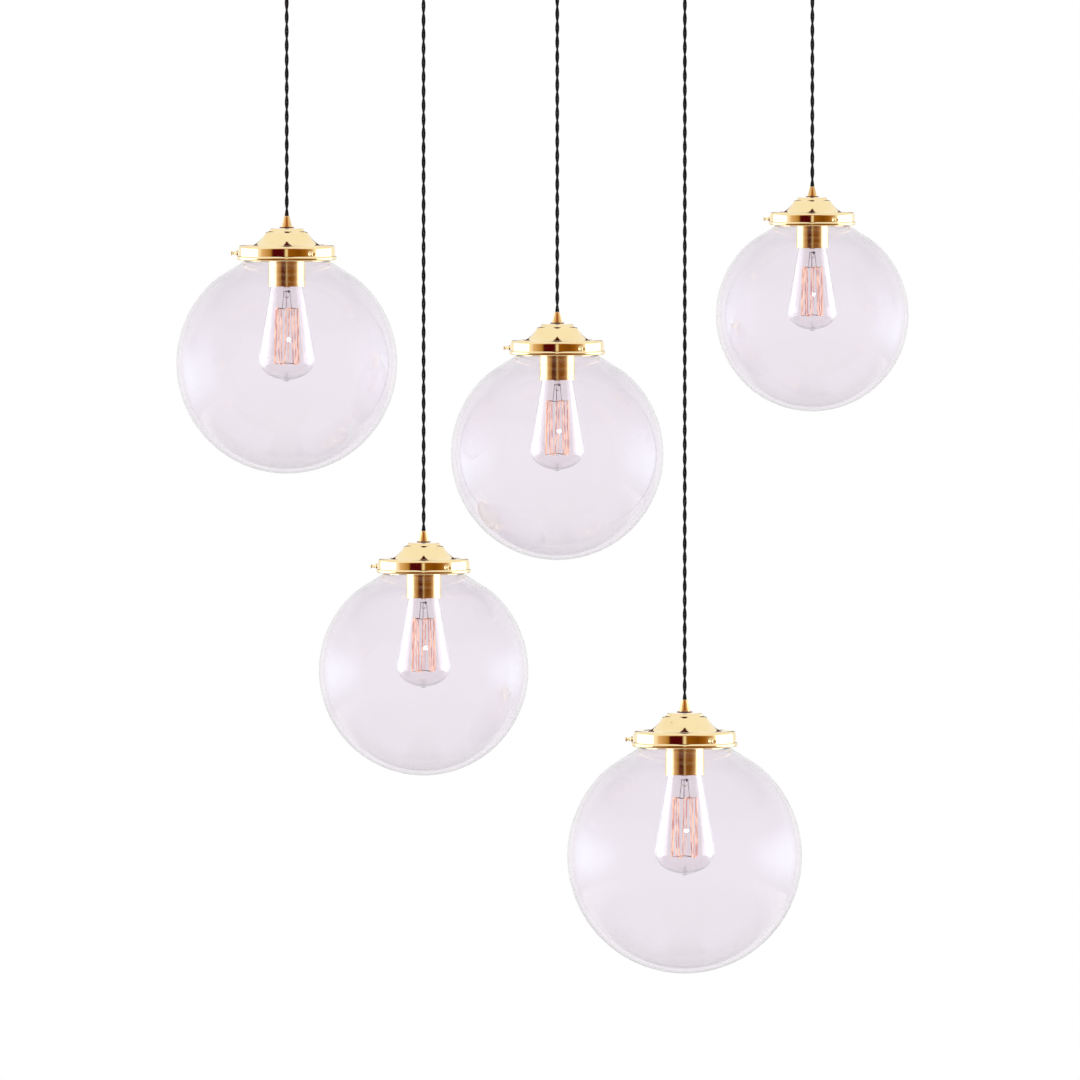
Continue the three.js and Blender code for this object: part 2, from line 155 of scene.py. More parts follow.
def eased(tree, value, start, end):
    # 0 at start and 1 at end, in either order, with a soft change between them
    ease = addNode(tree, "ShaderNodeMapRange", interpolation_type="SMOOTHSTEP")
    preset(ease, {"From Min": start, "From Max": end})
    feed(tree, value, ease.inputs["Value"])
    return ease.outputs["Result"]


def blended(tree, factor, first, second):
    # each of the two is a colour or a socket
    mix = addNode(tree, "ShaderNodeMix", data_type="RGBA")
    feed(tree, factor, mix.inputs["Factor"])
    for socket, value in ((mix.inputs["A"], first), (mix.inputs["B"], second)):
        if isinstance(value, tuple):
            socket.default_value = (*value, 1)
        else:
            feed(tree, value, socket)
    return mix.outputs["Result"]


def mixedShaders(tree, factor, first, second):
    mix = addNode(tree, "ShaderNodeMixShader")
    for socket, source in zip(mix.inputs, (factor, first, second)):
        feed(tree, source, socket)
    return mix.outputs["Shader"]


def clearShader(tree):
    clear = addNode(tree, "ShaderNodeBsdfTransparent")
    clear.inputs["Color"].default_value = (1, 1, 1, 1)
    return clear.outputs["BSDF"]


def setSurface(tree, surface):
    feed(tree, surface, tree.nodes["Material Output"].inputs["Surface"])


def mathNode(tree, operation, *values):
    made = addNode(tree, "ShaderNodeMath", operation=operation)
    for socket, value in zip(made.inputs, values):
        if isinstance(value, (int, float)):
            socket.default_value = value
        else:
            feed(tree, value, socket)
    return made.outputs["Value"]


def lightPath(tree):
    return addNode(tree, "ShaderNodeLightPath").outputs


def blurredMirror(tree, path):
    # rays off metal or a coat, not off smooth glass
    return mathNode(tree, "SUBTRACT", path["Is Glossy Ray"], path["Is Singular Ray"])


def bumped(tree, shader, height, strength, distance):
    bump = addNode(tree, "ShaderNodeBump")
    preset(bump, {"Strength": strength, "Distance": distance})
    feed(tree, height, bump.inputs["Height"])
    feed(tree, bump.outputs["Normal"], shader.inputs["Normal"])


# Metal: tarnish tones and wiped lacquer from noise, turning lines from bands across the height
def metal(name, light, dark, roughness, turning=0.0, turningScale=520):
    material, tree, shader = startMaterial(name)
    coords = objectCoords(tree)
    tone = ranged(tree, noiseOf(tree, coords, 38, 5), 0, 1, 0.35, 0.65)
    feed(tree, blended(tree, tone, light, dark), shader.inputs["Base Color"])
    wiped = noiseOf(tree, coords, 160, 4, 0.6)
    feed(tree, ranged(tree, wiped, roughness * 0.8, roughness * 1.25), shader.inputs["Roughness"])
    shader.inputs["Metallic"].default_value = 1
    if turning:
        lines = addNode(tree, "ShaderNodeTexWave", wave_type="BANDS", bands_direction="Z")
        preset(lines, {"Scale": turningScale, "Distortion": 1.5, "Detail": 2})
        feed(tree, coords, lines.inputs["Vector"])
        bumped(tree, shader, lines.outputs["Fac"], turning, 0.02 * mm)
    return material


# Blown glass: a faint uneven lilac tint and slow waves where asked for. It lets light through to
# what it holds, and lets blurred mirror rays through, as the brass mirrors only the room.
def glass(name, tint, wave, waveScale, mirror=1.0, coat=0.0):
    material, tree, shader = startMaterial(name)
    coords = objectCoords(tree)
    cloud = ranged(tree, noiseOf(tree, coords, waveScale, 1), 0, 1, 0.3, 0.7)
    fainter = tuple(channel * 0.99 for channel in tint)
    feed(tree, blended(tree, cloud, tint, fainter), shader.inputs["Base Color"])
    shader.inputs["Transmission Weight"].default_value = 1
    shader.inputs["IOR"].default_value = 1.5
    shader.inputs["Roughness"].default_value = 0
    shader.inputs["Specular Tint"].default_value = (mirror, mirror, mirror * 1.03, 1)
    shader.inputs["Coat Weight"].default_value = coat
    shader.inputs["Coat Roughness"].default_value = 0.03
    if wave:
        bumped(tree, shader, noiseOf(tree, coords, waveScale, 1), wave, 1 * mm)
    path = lightPath(tree)
    passing = mathNode(tree, "MAXIMUM", path["Is Shadow Ray"], blurredMirror(tree, path))
    setSurface(tree, mixedShaders(tree, passing, shader.outputs["BSDF"], clearShader(tree)))
    return material


# Braided cotton on the flex, woven along the strand's own UV map
def braidedCotton():
    material, tree, shader = startMaterial("braided cotton")
    uv = addNode(tree, "ShaderNodeTexCoord").outputs["UV"]
    over = []
    for turn in (45, -45):
        slanted = addNode(tree, "ShaderNodeMapping")
        slanted.inputs["Rotation"].default_value = (0, 0, math.radians(turn))
        feed(tree, uv, slanted.inputs["Vector"])
        yarn = addNode(tree, "ShaderNodeTexWave", wave_type="BANDS", bands_direction="X")
        yarn.inputs["Scale"].default_value = 2.2
        feed(tree, slanted.outputs["Vector"], yarn.inputs["Vector"])
        over.append(yarn.outputs["Fac"])
    weave = mathNode(tree, "MULTIPLY", *over)
    colour = blended(tree, weave, (0.003, 0.002, 0.003), (0.012, 0.009, 0.010))
    feed(tree, colour, shader.inputs["Base Color"])
    coords = objectCoords(tree)
    feed(tree, ranged(tree, noiseOf(tree, coords, 900, 2), 0.7, 0.95), shader.inputs["Roughness"])
    shader.inputs["Sheen Weight"].default_value = 0.04
    shader.inputs["Specular IOR Level"].default_value = 0.25
    bumped(tree, shader, weave, 0.7, 0.15 * mm)
    return material


# Filament: pink tones drawn out along the strands, and a faint painted glow of their own colour that
# lightens them
def filamentWire():
    material, tree, shader = startMaterial("filament")
    along = addNode(tree, "ShaderNodeMapping")
    along.inputs["Scale"].default_value = (1, 1, 0.2)
    feed(tree, objectCoords(tree), along.inputs["Vector"])
    tone = ranged(tree, noiseOf(tree, along.outputs["Vector"], 420, 2), 0, 1, 0.4, 0.6)
    colour = blended(tree, tone, (0.97, 0.62, 0.44), (0.52, 0.25, 0.24))
    feed(tree, colour, shader.inputs["Base Color"])
    feed(tree, colour, shader.inputs["Emission Color"])
    # painted glow: this emission lightens the strands
    shader.inputs["Emission Strength"].default_value = 0.25
    shader.inputs["Roughness"].default_value = 0.5
    return material


# Moulded plastic or glass with a fine grain
def moulded(name, colour, roughness):
    material, tree, shader = startMaterial(name)
    coords = objectCoords(tree)
    grain = noiseOf(tree, coords, 1400, 2)
    darker = tuple(channel * 0.93 for channel in colour)
    feed(tree, blended(tree, grain, colour, darker), shader.inputs["Base Color"])
    feed(tree, ranged(tree, grain, roughness - 0.08, roughness + 0.08), shader.inputs["Roughness"])
    bumped(tree, shader, grain, 0.1, 0.05 * mm)
    return material


finishes = {
    "polishedBrass": metal("polished brass", (0.96, 0.79, 0.45), (0.94, 0.75, 0.41), 0.07, 0.06),
    # painted shade: the grips' brass is darker than the gallery's, which paints the dimmer tone their
    # cones show
    "gripBrass": metal("grip brass darkened as painted shade", (0.78, 0.53, 0.23), (0.73, 0.48, 0.20), 0.1, 0.06),
    # painted shade: a dark brown brass for the flanges, which paints the dark band at the foot of each
    # cord grip
    "agedBrass": metal("flange brass painted dark as shade", (0.19, 0.08, 0.03), (0.14, 0.055, 0.02), 0.3, 0.06),
    "holderBrass": metal("holder brass", (0.94, 0.75, 0.42), (0.91, 0.71, 0.37), 0.2, 0.08),
    "zincSteel": metal("zinc plated steel", (0.62, 0.63, 0.65), (0.52, 0.53, 0.56), 0.36),
    "nickel": metal("nickel plated cap", (0.78, 0.76, 0.72), (0.68, 0.66, 0.62), 0.24, 0.1),
    "supportWire": metal("support wire", (0.07, 0.055, 0.05), (0.03, 0.025, 0.025), 0.4),
    "globeGlass": glass("globe glass", (0.934, 0.903, 0.939), 0, 9, 0.5),
    "bulbGlass": glass("bulb glass", (0.990, 0.972, 0.988), 0.01, 30, 0.3, 1),
    "stemGlass": glass("stem glass", (0.97, 0.95, 0.96), 0.05, 200, 0.97),
    "braidedCotton": braidedCotton(),
    "filament": filamentWire(),
    "whitePlastic": moulded("white plastic", (0.82, 0.81, 0.77), 0.45),
    "blackGlass": moulded("black glass insulator", (0.02, 0.02, 0.025), 0.2),
}
print("finishes made:", len(finishes))


# Mesh helpers. A profile is a list of (radius, height) in mm; a third number rounds that corner.
rounding = {
    "longRun": 1.2,  # mm, a straight run that gets a point just before its corners
    "sharpTurn": 7.5,  # degrees
    "pointBefore": 0.12,  # mm
    "weld": 0.0005,  # mm
}


def cornerAt(vert):
    # how much the profile turns at this point
    if len(vert.link_edges) < 2:
        return 0
    before, after = (edge.other_vert(vert).co for edge in vert.link_edges)
    return (vert.co - before).angle(after - vert.co)


def profileOf(points, closed=False, cornerSegments=4):
    shape = bmesh.new()
    verts = [shape.verts.new((point[0] * mm, 0, point[1] * mm)) for point in points]
    for first, second in zip(verts, verts[1:]):
        shape.edges.new((first, second))
    if closed:
        shape.edges.new((verts[-1], verts[0]))
    for vert, point in zip(verts, points):
        if len(point) == 3:
            bmesh.ops.bevel(
                shape, geom=[vert], offset=point[2] * mm, offset_type="OFFSET", segments=cornerSegments,
                profile=0.5, affect="VERTICES", material=-1,
            )
    # a point just before each corner of a long straight run keeps its shading straight
    runs = []
    for edge in shape.edges:
        if edge.calc_length() > rounding["longRun"] * mm:
            least = math.radians(rounding["sharpTurn"])
            runs.append((edge, [vert for vert in edge.verts if cornerAt(vert) > least]))
    for edge, corners in runs:
        for corner in corners:
            part = rounding["pointBefore"] * mm / edge.calc_length()
            added = bmesh.utils.edge_split(edge, corner, part)[1]
            edge = next(other for other in added.link_edges if corner not in other.verts)
    return shape


def welded(shape):
    bmesh.ops.remove_doubles(shape, verts=shape.verts[:], dist=rounding["weld"] * mm)
    bmesh.ops.recalc_face_normals(shape, faces=shape.faces[:])
    return shape


def spun(shape, sides):
    bmesh.ops.spin(
        shape, geom=shape.verts[:] + shape.edges[:], cent=(0, 0, 0), axis=up, dvec=(0, 0, 0),
        angle=fullTurn, steps=sides, use_merge=True,
    )
    return welded(shape)


def turned(points, sides, closed=False, cornerSegments=4):
    return spun(profileOf(points, closed, cornerSegments), sides)


def arcOf(centre, radius, start, end, steps):
    # angles from straight up, in degrees; radius is one number or (across, along)
    across, along = radius if isinstance(radius, tuple) else (radius, radius)
    angles = [math.radians(start + (end - start) * i / steps) for i in range(steps + 1)]
    return [(centre[0] + across * math.sin(a), centre[1] + along * math.cos(a)) for a in angles]


def curveOf(start, startHandle, endHandle, end, steps):
    ends = [Vector((*point, 0)) for point in (start, startHandle, endHandle, end)]
    return [(point.x, point.y) for point in interpolate_bezier(*ends, steps + 1)]


def scaled(points, size):
    return [tuple(value * size for value in point) for point in points]


def meshOf(name, shape, material=None):
    mesh = bpy.data.meshes.new(name)
    shape.to_mesh(mesh)
    shape.free()
    if material:
        mesh.materials.append(material)
    return mesh


def appliedShape(made):
    # what a curve or a modifier makes of an object
    mesh = bpy.data.meshes.new_from_object(made.evaluated_get(bpy.context.evaluated_depsgraph_get()))
    shape = bmesh.new()
    shape.from_mesh(mesh)
    bpy.data.meshes.remove(mesh)
    return shape


def joined(shape, other, place=None):
    if place is not None:
        other.transform(place)
    mesh = meshOf("joined", other)
    shape.from_mesh(mesh)
    bpy.data.meshes.remove(mesh)
    return shape


def helixOf(ringRadius, offset, pitch, length, phase=0.0, ringSides=8, stepsPerTurn=24):
    # a round strand that winds up the Z axis from height 0, sizes in mm
    shape = bmesh.new()
    slope = math.atan2(pitch, fullTurn * offset)
    lean = Matrix.Rotation(math.pi / 2 + slope, 4, "X")
    place = Matrix.Rotation(phase, 4, "Z") @ Matrix.Translation((offset * mm, 0, 0)) @ lean
    bmesh.ops.create_circle(shape, segments=ringSides, radius=ringRadius * mm, matrix=place)
    turns = length / pitch
    steps = max(8, round(turns * stepsPerTurn))
    bmesh.ops.spin(
        shape, geom=shape.verts[:] + shape.edges[:], cent=(0, 0, 0), axis=up,
        dvec=(0, 0, length * mm / steps), angle=fullTurn * turns, steps=steps,
    )
    bmesh.ops.holes_fill(shape, edges=shape.edges[:], sides=ringSides)
    bmesh.ops.recalc_face_normals(shape, faces=shape.faces[:])
    return shape


def wireOf(points, radius, closed=False):
    curve = bpy.data.curves.new("wire", "CURVE")
    curve.dimensions = "3D"
    curve.bevel_depth = radius * mm
    curve.bevel_resolution = 2
    curve.use_fill_caps = not closed
    spline = curve.splines.new("POLY")
    spline.points.add(len(points) - 1)
    for place, point in zip(spline.points, points):
        place.co = (*(Vector(point) * mm), 1)
    spline.use_cyclic_u = closed
    wire = linked("wire", curve)
    shape = appliedShape(wire)
    bpy.data.objects.remove(wire)
    bpy.data.curves.remove(curve)
    return welded(shape)


def bar(radius, bottom, top, sides, edge=0.0):
    corner = (edge,) if edge else ()
    profile = [(0, bottom), (radius, bottom, *corner), (radius, top, *corner), (0, top)]
    return turned(profile, sides, cornerSegments=2)


def cut(shape, tools):
    # bmesh has no boolean, so a modifier cuts one body with all the others
    bodies = [linked("cut", meshOf("cut", body)) for body in (shape, tools)]
    boolean = bodies[0].modifiers.new("cut", "BOOLEAN")
    boolean.operation = "DIFFERENCE"
    boolean.solver = "EXACT"
    boolean.use_self = True
    boolean.object = bodies[1]
    result = appliedShape(bodies[0])
    for body in bodies:
        bpy.data.objects.remove(body)
    return result


def addPiece(name, shape, finish, body, nodes, place=None, sharp=35):
    if place is not None:
        shape.transform(place)
    mesh = meshOf(name, shape, finishes[finish])
    mesh.shade_smooth()
    mesh.set_sharp_from_angle(angle=math.radians(sharp))
    made = linked(name, mesh)
    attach(made, body)
    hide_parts(*nodes)
    return made


# Gallery: spun bell with a stepped top, a flare, a groove, a rounded shoulder and a rolled foot
bell = {
    "depth": 35.8,
    "wall": 1.2,
    "bore": 5.3,  # round the threaded shank, the same on all
    "bandRadius": 55,
    "shoulderHeight": -18.7,
    "shoulderCorner": 4.4,
    "rollRadius": 2.4,
    "rollProud": 1.9,
    "insideRadius": 53.7,
    "sides": 128,
}


# Where each pendant hangs and how large it is, from its solids in the frame
def readPendant(number):
    low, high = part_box(f"gallery_{number}")
    holderLow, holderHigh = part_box(f"lampholder_{number}")
    return {
        "number": number,
        "x": (holderLow.x + holderHigh.x) / 2,
        "top": high.z,
        "size": (high.z - low.z) / (bell["depth"] * mm),
    }


pendants = [readPendant(number) for number in range(1, 6)]


def placeOf(pendant):
    return Matrix.Translation((pendant["x"], 0, pendant["top"]))


def addHung(pendant, name, shape, finish, body, node, sharp=35, place=None):
    number = pendant["number"]
    return addPiece(
        f"{name}_{number}", shape, finish, f"{body}_{number}", [f"{node}_{number}"],
        placeOf(pendant) if place is None else place, sharp,
    )


# Flex: two braided cores twisted together, hanging straight
flex = {
    "coreRadius": 1.2,
    "twist": 33.6,  # mm for one full turn
    "diameter": 4.8,
    "ringSides": 10,
    "stepsPerTurn": 20,
    "routePoints": 24,
    "braidRepeats": 6,  # round a core
}


def braidMap(mesh, axis):
    # UV: once round the core across, real length along, so that the braid keeps its scale
    layer = mesh.uv_layers.new(name="braid")
    perimeter = fullTurn * flex["coreRadius"] * mm
    for face in mesh.polygons:
        rounds = []
        for corner in face.vertices:
            point = mesh.vertices[corner].co - axis
            turn = fullTurn * (point.z / (flex["twist"] * mm))
            radial = Vector((math.cos(turn), math.sin(turn), 0))
            if radial.dot(point) < 0:
                radial = -radial
            offset = point - radial * flex["coreRadius"] * mm
            rounds.append(math.atan2(offset.z, offset.dot(radial)) / fullTurn)
        base = rounds[0]
        for loop, corner, value in zip(face.loop_indices, face.vertices, rounds):
            value += round(base - value)
            along = (mesh.vertices[corner].co.z - axis.z) / perimeter
            layer.data[loop].uv = (value * flex["braidRepeats"], along * flex["braidRepeats"])


def addFlex(pendant):
    low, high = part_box(f"flex_{pendant['number']}")
    length = (high.z - low.z) / mm
    strands = bmesh.new()
    for phase in (0, math.pi):
        joined(strands, helixOf(
            flex["coreRadius"], flex["coreRadius"], flex["twist"], length, phase,
            flex["ringSides"], flex["stepsPerTurn"],
        ))
    foot = Vector((pendant["x"], 0, low.z))
    made = addHung(pendant, "twisted_flex", strands, "braidedCotton", "pendant", "flex",
        60, Matrix.Translation(foot))
    braidMap(made.data, foot)


for pendant in pendants:
    addFlex(pendant)
print("flexes made")


# Cord grips: a flange, a cone and a threaded shank, above each gallery and under the canopy
grip = {
    "flangeRadius": 8.15,
    "flangeHeight": 1.5,
    "coneRadius": 6,
    "coneTop": 3,
    "coneHeight": 12.2,
    "shankRadius": 4.7,
    "shankLength": 9,
    "threadPitch": 1,
    "mouthRadius": 2.5,
    "sides": 64,
    "nutRadius": 7.5,
    "nutHeight": 3,
    "nutGap": 0.6,  # under the canopy's roof
    "seat": 0.03,  # between the flange and the cone, and round the shank
}


def flangeShape(size):
    radius = grip["flangeRadius"] * size
    flange = grip["flangeHeight"] * size
    bore = grip["shankRadius"] + grip["seat"]
    ring = [(bore, 0), (radius, 0, 0.3), (radius, flange, 0.3), (bore, flange)]
    return turned(ring, grip["sides"], closed=True)


def gripShape(size):
    flange = grip["flangeHeight"] * size
    top = flange + grip["coneHeight"] * size
    shape = turned([
        (0, -grip["shankLength"]),
        (grip["shankRadius"], -grip["shankLength"], 0.4),
        (grip["shankRadius"], flange + grip["seat"]),
        (grip["coneRadius"] * size, flange + grip["seat"], 0.3),
        (grip["coneTop"] * size, top, 0.3),
        (grip["mouthRadius"], top, 0.2),
        (grip["mouthRadius"], top - 2),
        (0, top - 2),
    ], grip["sides"])
    thread = helixOf(0.32, grip["shankRadius"], grip["threadPitch"], grip["shankLength"] - 1.2)
    return joined(shape, thread, Matrix.Translation((0, 0, -(grip["shankLength"] - 0.6) * mm)))


def addCordGrip(pendant):
    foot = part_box(f"cord_grip_{pendant['number']}")[0].z
    place = Matrix.Translation((pendant["x"], 0, foot + grip["shankLength"] * mm))
    for name, shape, finish in (
        # the grip's darker brass is painted shade
        ("grip", gripShape(pendant["size"]), "gripBrass"),
        # the flange's dark brown brass is painted shade
        ("grip_flange", flangeShape(pendant["size"]), "agedBrass"),
    ):
        addHung(pendant, name, shape, finish, "pendant", "cord_grip", 35, place)


def bellProfile(size):
    wall = bell["wall"]
    corner = bell["shoulderCorner"]
    roll = bell["rollRadius"]
    shoulder = bell["shoulderHeight"]
    rollCentre = (bell["bandRadius"] + bell["rollProud"] - roll, roll - bell["depth"])
    rollStart = math.degrees(math.asin(1 - bell["rollProud"] / roll))
    flare = curveOf((24, -4.75), (26.2, -9.5), (32.4, -16.6), (38.4, -18.9), 14)
    outside = scaled([
        (18.6, 0, 1.4),
        (19.9, -3.1, 0.5),
        (22.6, -3.9, 0.5),
        *flare,
        (40.4, -19.8, 0.6),
        (43.2, -19.5, 0.8),
        (46, shoulder, 0.8),
        *arcOf((bell["bandRadius"] - corner, shoulder - corner), corner, 0, 90, 8),
        *arcOf(rollCentre, roll, rollStart, 180, 14),
        (bell["insideRadius"], -bell["depth"] + 0.3),
    ], size)
    lining = [(radius * size - wall, height * size - wall) for radius, height in reversed(flare)]
    inside = [
        (bell["insideRadius"] * size, (shoulder - corner) * size, 1.5),
        (44.5 * size, -20.9 * size, 1),
        (40.4 * size, -21.1 * size, 1),
        *lining,
        (22 * size, -5.5 * size, 0.5),
        (17.4 * size, -wall, 0.8),
        (bell["bore"], -wall),
    ]
    return [(bell["bore"], 0), *outside, *inside]


screw = {
    "depth": 28,
    "shankRadius": 1.7,
    "bossRadius": 3,
    "bossLength": 2.2,
    "ballRadius": 2.1,
    "ballLength": 2.4,
    "waistRadius": 1.3,
    "waistLength": 1.4,
    "discRadius": 2.2,
    "discLength": 2.1,
    "ridges": 20,
    "threadPitch": 0.7,
    "tipGap": 0.3,  # from the flat of the bead's nearest facet in the CAD
    "facetHalf": math.pi / 18,
    "sides": {"left": 180, "front": -60, "back": 60},  # degrees round the gallery
}


def screwPlace(size, degrees):
    # turns +Z outwards, at the height of the screws
    aside = Matrix.Rotation(math.radians(degrees), 4, "Z") @ Matrix.Rotation(math.pi / 2, 4, "Y")
    return Matrix.Translation((0, 0, -screw["depth"] * size * mm)) @ aside


def addGallery(pendant):
    size = pendant["size"]
    shape = turned(bellProfile(size), bell["sides"], closed=True)
    start = (bell["insideRadius"] + 0.3) * size
    end = (bell["bandRadius"] + screw["bossLength"]) * size
    radius = screw["bossRadius"] * size
    root = (screw["bossRadius"] + 0.5) * size
    bore = screw["shankRadius"] + 0.3
    for degrees in screw["sides"].values():
        boss = turned([
            (bore, start),
            (root, start),
            (root, (bell["bandRadius"] - 0.2) * size, 0.3),
            (radius, (bell["bandRadius"] + 0.3) * size, 0.3),
            (radius, end, 0.35),
            (bore, end, 0.2),
        ], 36, closed=True, cornerSegments=3)
        joined(shape, boss, screwPlace(size, degrees))
    addHung(pendant, "bell", shape, "polishedBrass", "pendant", "gallery", 28)


def addThumbScrews(pendant):
    number = pendant["number"]
    size = pendant["size"]
    start = (bell["bandRadius"] + screw["bossLength"]) * size + 0.3
    ballEnd = start + screw["ballLength"] * size
    waistEnd = ballEnd + screw["waistLength"] * size
    discEnd = waistEnd + screw["discLength"] * size
    half = screw["ballLength"] / 2 * size
    shank = screw["shankRadius"]
    waist = screw["waistRadius"] * size
    disc = screw["discRadius"] * size
    bead = globe["beadRadius"] * size * math.cos(screw["facetHalf"]) + screw["tipGap"]
    for side, degrees in screw["sides"].items():
        node = f"thumbscrew_{number}_{side}"
        tip = (pendant["x"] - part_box(node)[1].x) / mm if side == "left" else bead
        shape = turned([
            (0, tip),
            (shank * 0.7, tip, 0.2),
            (shank, tip + 0.8, 0.2),
            (shank, start),
            *arcOf((0, start + half), (screw["ballRadius"] * size, half), 145, 38, 7),
            (waist, ballEnd + 0.3, 0.2),
            (waist, waistEnd, 0.3),
            (disc, waistEnd, 0.3),
            (disc, discEnd, 0.4),
            (0, discEnd),
        ], 2 * screw["ridges"], cornerSegments=3)
        knurl(shape, disc, waistEnd + 0.2, discEnd - 0.3, screw["ridges"])
        thread = helixOf(0.22, shank, screw["threadPitch"], start - tip - 1.6, 0, 6, 16)
        joined(shape, thread, Matrix.Translation((0, 0, (tip + 0.9) * mm)))
        name = f"screw_{number}_{side}"
        place = placeOf(pendant) @ screwPlace(size, degrees)
        addPiece(name, shape, "polishedBrass", name, [node], place, 32)


def knurl(shape, radius, bottom, top, ridges):
    # every second line of the rim is pressed in a little
    for vert in shape.verts:
        out = math.hypot(vert.co.x, vert.co.y) / mm
        if out < radius - 0.12 or not bottom < vert.co.z / mm < top:
            continue
        line = round(math.atan2(vert.co.y, vert.co.x) / (math.pi / ridges))
        if line % 2:
            shrink = (out - 0.2) / out
            vert.co.x *= shrink
            vert.co.y *= shrink


# Lampholder: tall brass cup round the lamp cap, open below
holder = {
    "radius": 20.75,
    "topRadius": 13,
    "shoulderDepth": 10,
    "below": 29.6,  # of its foot under the gallery's foot
    "skirtWall": 1,
    "neckRoom": 14,
    "lip": 0.45,
    "bore": 5.3,
    "roofDepth": 1.5,
    "capRoom": 13.4,
    "capRoomLength": 26,
    "sides": 96,
}


def holderFoot(size):
    return -(bell["depth"] + holder["below"]) * size


def addLampholder(pendant):
    size = pendant["size"]
    foot = holderFoot(size)
    radius = holder["radius"] * size
    inside = radius - holder["skirtWall"] * size
    shelf = foot + holder["neckRoom"] * size
    ceiling = shelf + holder["capRoomLength"]
    lip = holder["lip"] * size
    shape = turned([
        (holder["bore"], -holder["roofDepth"]),
        (holder["topRadius"] * size, -holder["roofDepth"], 1),
        (radius, -holder["shoulderDepth"] * size, 3),
        (radius, foot + 5 * size, 1),
        (radius + lip, foot + 0.6, 0.4),
        (radius + lip, foot, 0.3),
        (inside + lip, foot, 0.3),
        (inside, foot + 4 * size, 0.6),
        (inside, shelf),
        (holder["capRoom"], shelf, 0.5),
        (holder["capRoom"], ceiling),
        (holder["bore"], ceiling),
    ], holder["sides"], closed=True)
    addHung(pendant, "cup", shape, "holderBrass", "pendant", "lampholder")


# Globe: thick blown glass with a bead round its neck
globe = {
    "radius": 125,
    "wall": 5,
    "floor": 6,
    "centreBelow": 116.9,  # the gallery's foot
    "neckRadius": 48.5,
    "bore": 43.3,
    "beadRadius": 50,
    "beadFoot": 3.4,
    "rise": 11.6,
    "sides": 224,
    "rings": 96,
}


def addGlobe(pendant):
    foot = -bell["depth"]
    centre = foot - globe["centreBelow"]
    radius = globe["radius"]
    inner = radius - globe["wall"]
    innerCentre = centre + globe["floor"] - globe["wall"]
    outside = arcOf((0, centre), radius, 180, 45, globe["rings"])
    inside = arcOf((0, innerCentre), inner, 45, 180, globe["rings"])
    neckOut = (globe["neckRadius"] + 0.1, foot - 1.2)
    shoulderOut = curveOf(outside[-1], (76, foot - 16.1), (63, foot - 11.3), neckOut, 20)
    shoulderIn = curveOf((45, foot - 3.2), (60.1, foot - 15.4), (73, foot - 19.2), inside[0], 20)
    shape = turned(scaled([
        *outside[:-1],
        *shoulderOut,
        (globe["neckRadius"], foot + globe["beadFoot"] - 1.5, 0.8),
        (globe["beadRadius"], foot + globe["beadFoot"], 0.8),
        (globe["beadRadius"], foot + globe["rise"], 1.6),
        (globe["bore"], foot + globe["rise"], 1.6),
        (globe["bore"], foot + 0.5, 2),
        (*shoulderIn[0], 1.6),
        *shoulderIn[1:],
        *inside[1:],
    ], pendant["size"]), globe["sides"])
    addHung(pendant, "shade", shape, "globeGlass", "shade", "globe", 60)


# Bulb: thin pear-shaped envelope
bulb = {
    "wall": 1,
    "mouthRadius": 12.8,
    "neckRadius": 18.5,
    "radius": 32,
    "taperRadius": 30.2,
    "taperDepth": 68,
    "widestDepth": 82.7,
    "length": 106.8,
    "pipRadius": 3,
    "pipDepth": 1.6,
    "sides": 112,
}


def bulbProfile(size, inset):
    foot = holderFoot(size)
    widest = foot - bulb["widestDepth"] * size
    bottom = (bulb["length"] - bulb["widestDepth"]) * size - inset
    radius = bulb["radius"] * size - inset
    taperEnd = (bulb["taperRadius"] * size - inset, foot - bulb["taperDepth"] * size)
    neck = (bulb["neckRadius"] * size - inset, foot)
    slope = (taperEnd[0] - neck[0]) / (neck[1] - taperEnd[1])
    belly = curveOf(taperEnd, (taperEnd[0] + slope * 6 * size, taperEnd[1] - 6 * size),
        (radius, widest + 6 * size), (radius, widest), 8)
    throat = curveOf((bulb["mouthRadius"] - inset, foot + 13.6 * size),
        (bulb["mouthRadius"] - inset, foot + 8 * size),
        (neck[0] - slope * 6 * size, foot + 6 * size), neck, 8)
    end = arcOf((0, widest), (radius, bottom), 90, 170, 16)[1:]
    tip = widest - bottom - bulb["pipDepth"] * size
    pip = curveOf(end[-1], (bulb["pipRadius"] * size, end[-1][1] - 0.3 * size),
        (bulb["pipRadius"] * size * 0.8, tip), (0, tip), 8)
    return [*throat[:-1], neck, *belly, *end, *pip[1:]]


def addBulbGlass(pendant):
    outside, inside = (bulbProfile(pendant["size"], inset) for inset in (0, bulb["wall"]))
    shape = turned([*reversed(outside), *inside], bulb["sides"])
    addHung(pendant, "envelope", shape, "bulbGlass", "lamp", "bulb_glass", 60)


# Lamp cap, glass stem, supports and the hairpin filament
lamp = {
    "capRadius": 13,
    "capLength": 25,
    "shoulderLength": 4,
    "contactRadius": 4.8,
    "threadPitch": 3.62,
    "stemFlare": 8,
    "stemRadius": 3.2,
    "stemDepth": 12,
    "rodRadius": 1.3,
    "cageTop": 25.5,
    "cageHeight": 63,
    "topRadius": 12.75,
    "footRadius": 13.8,
    "strands": 10,
    "wireRadius": 0.92,
    "bendHeight": 1.6,
    "lean": 3,  # degrees that a strand leans, one to the left, the next to the right
    "firstStrand": 11,  # degrees
    "armRadius": 0.3,
    "leadRadius": 0.26,
    "leadAngles": (12, 80, 168, 260),
    "beads": 5,  # in a row across the stem
    "beadStep": 1.75,
    "beadRadius": 0.7,
}


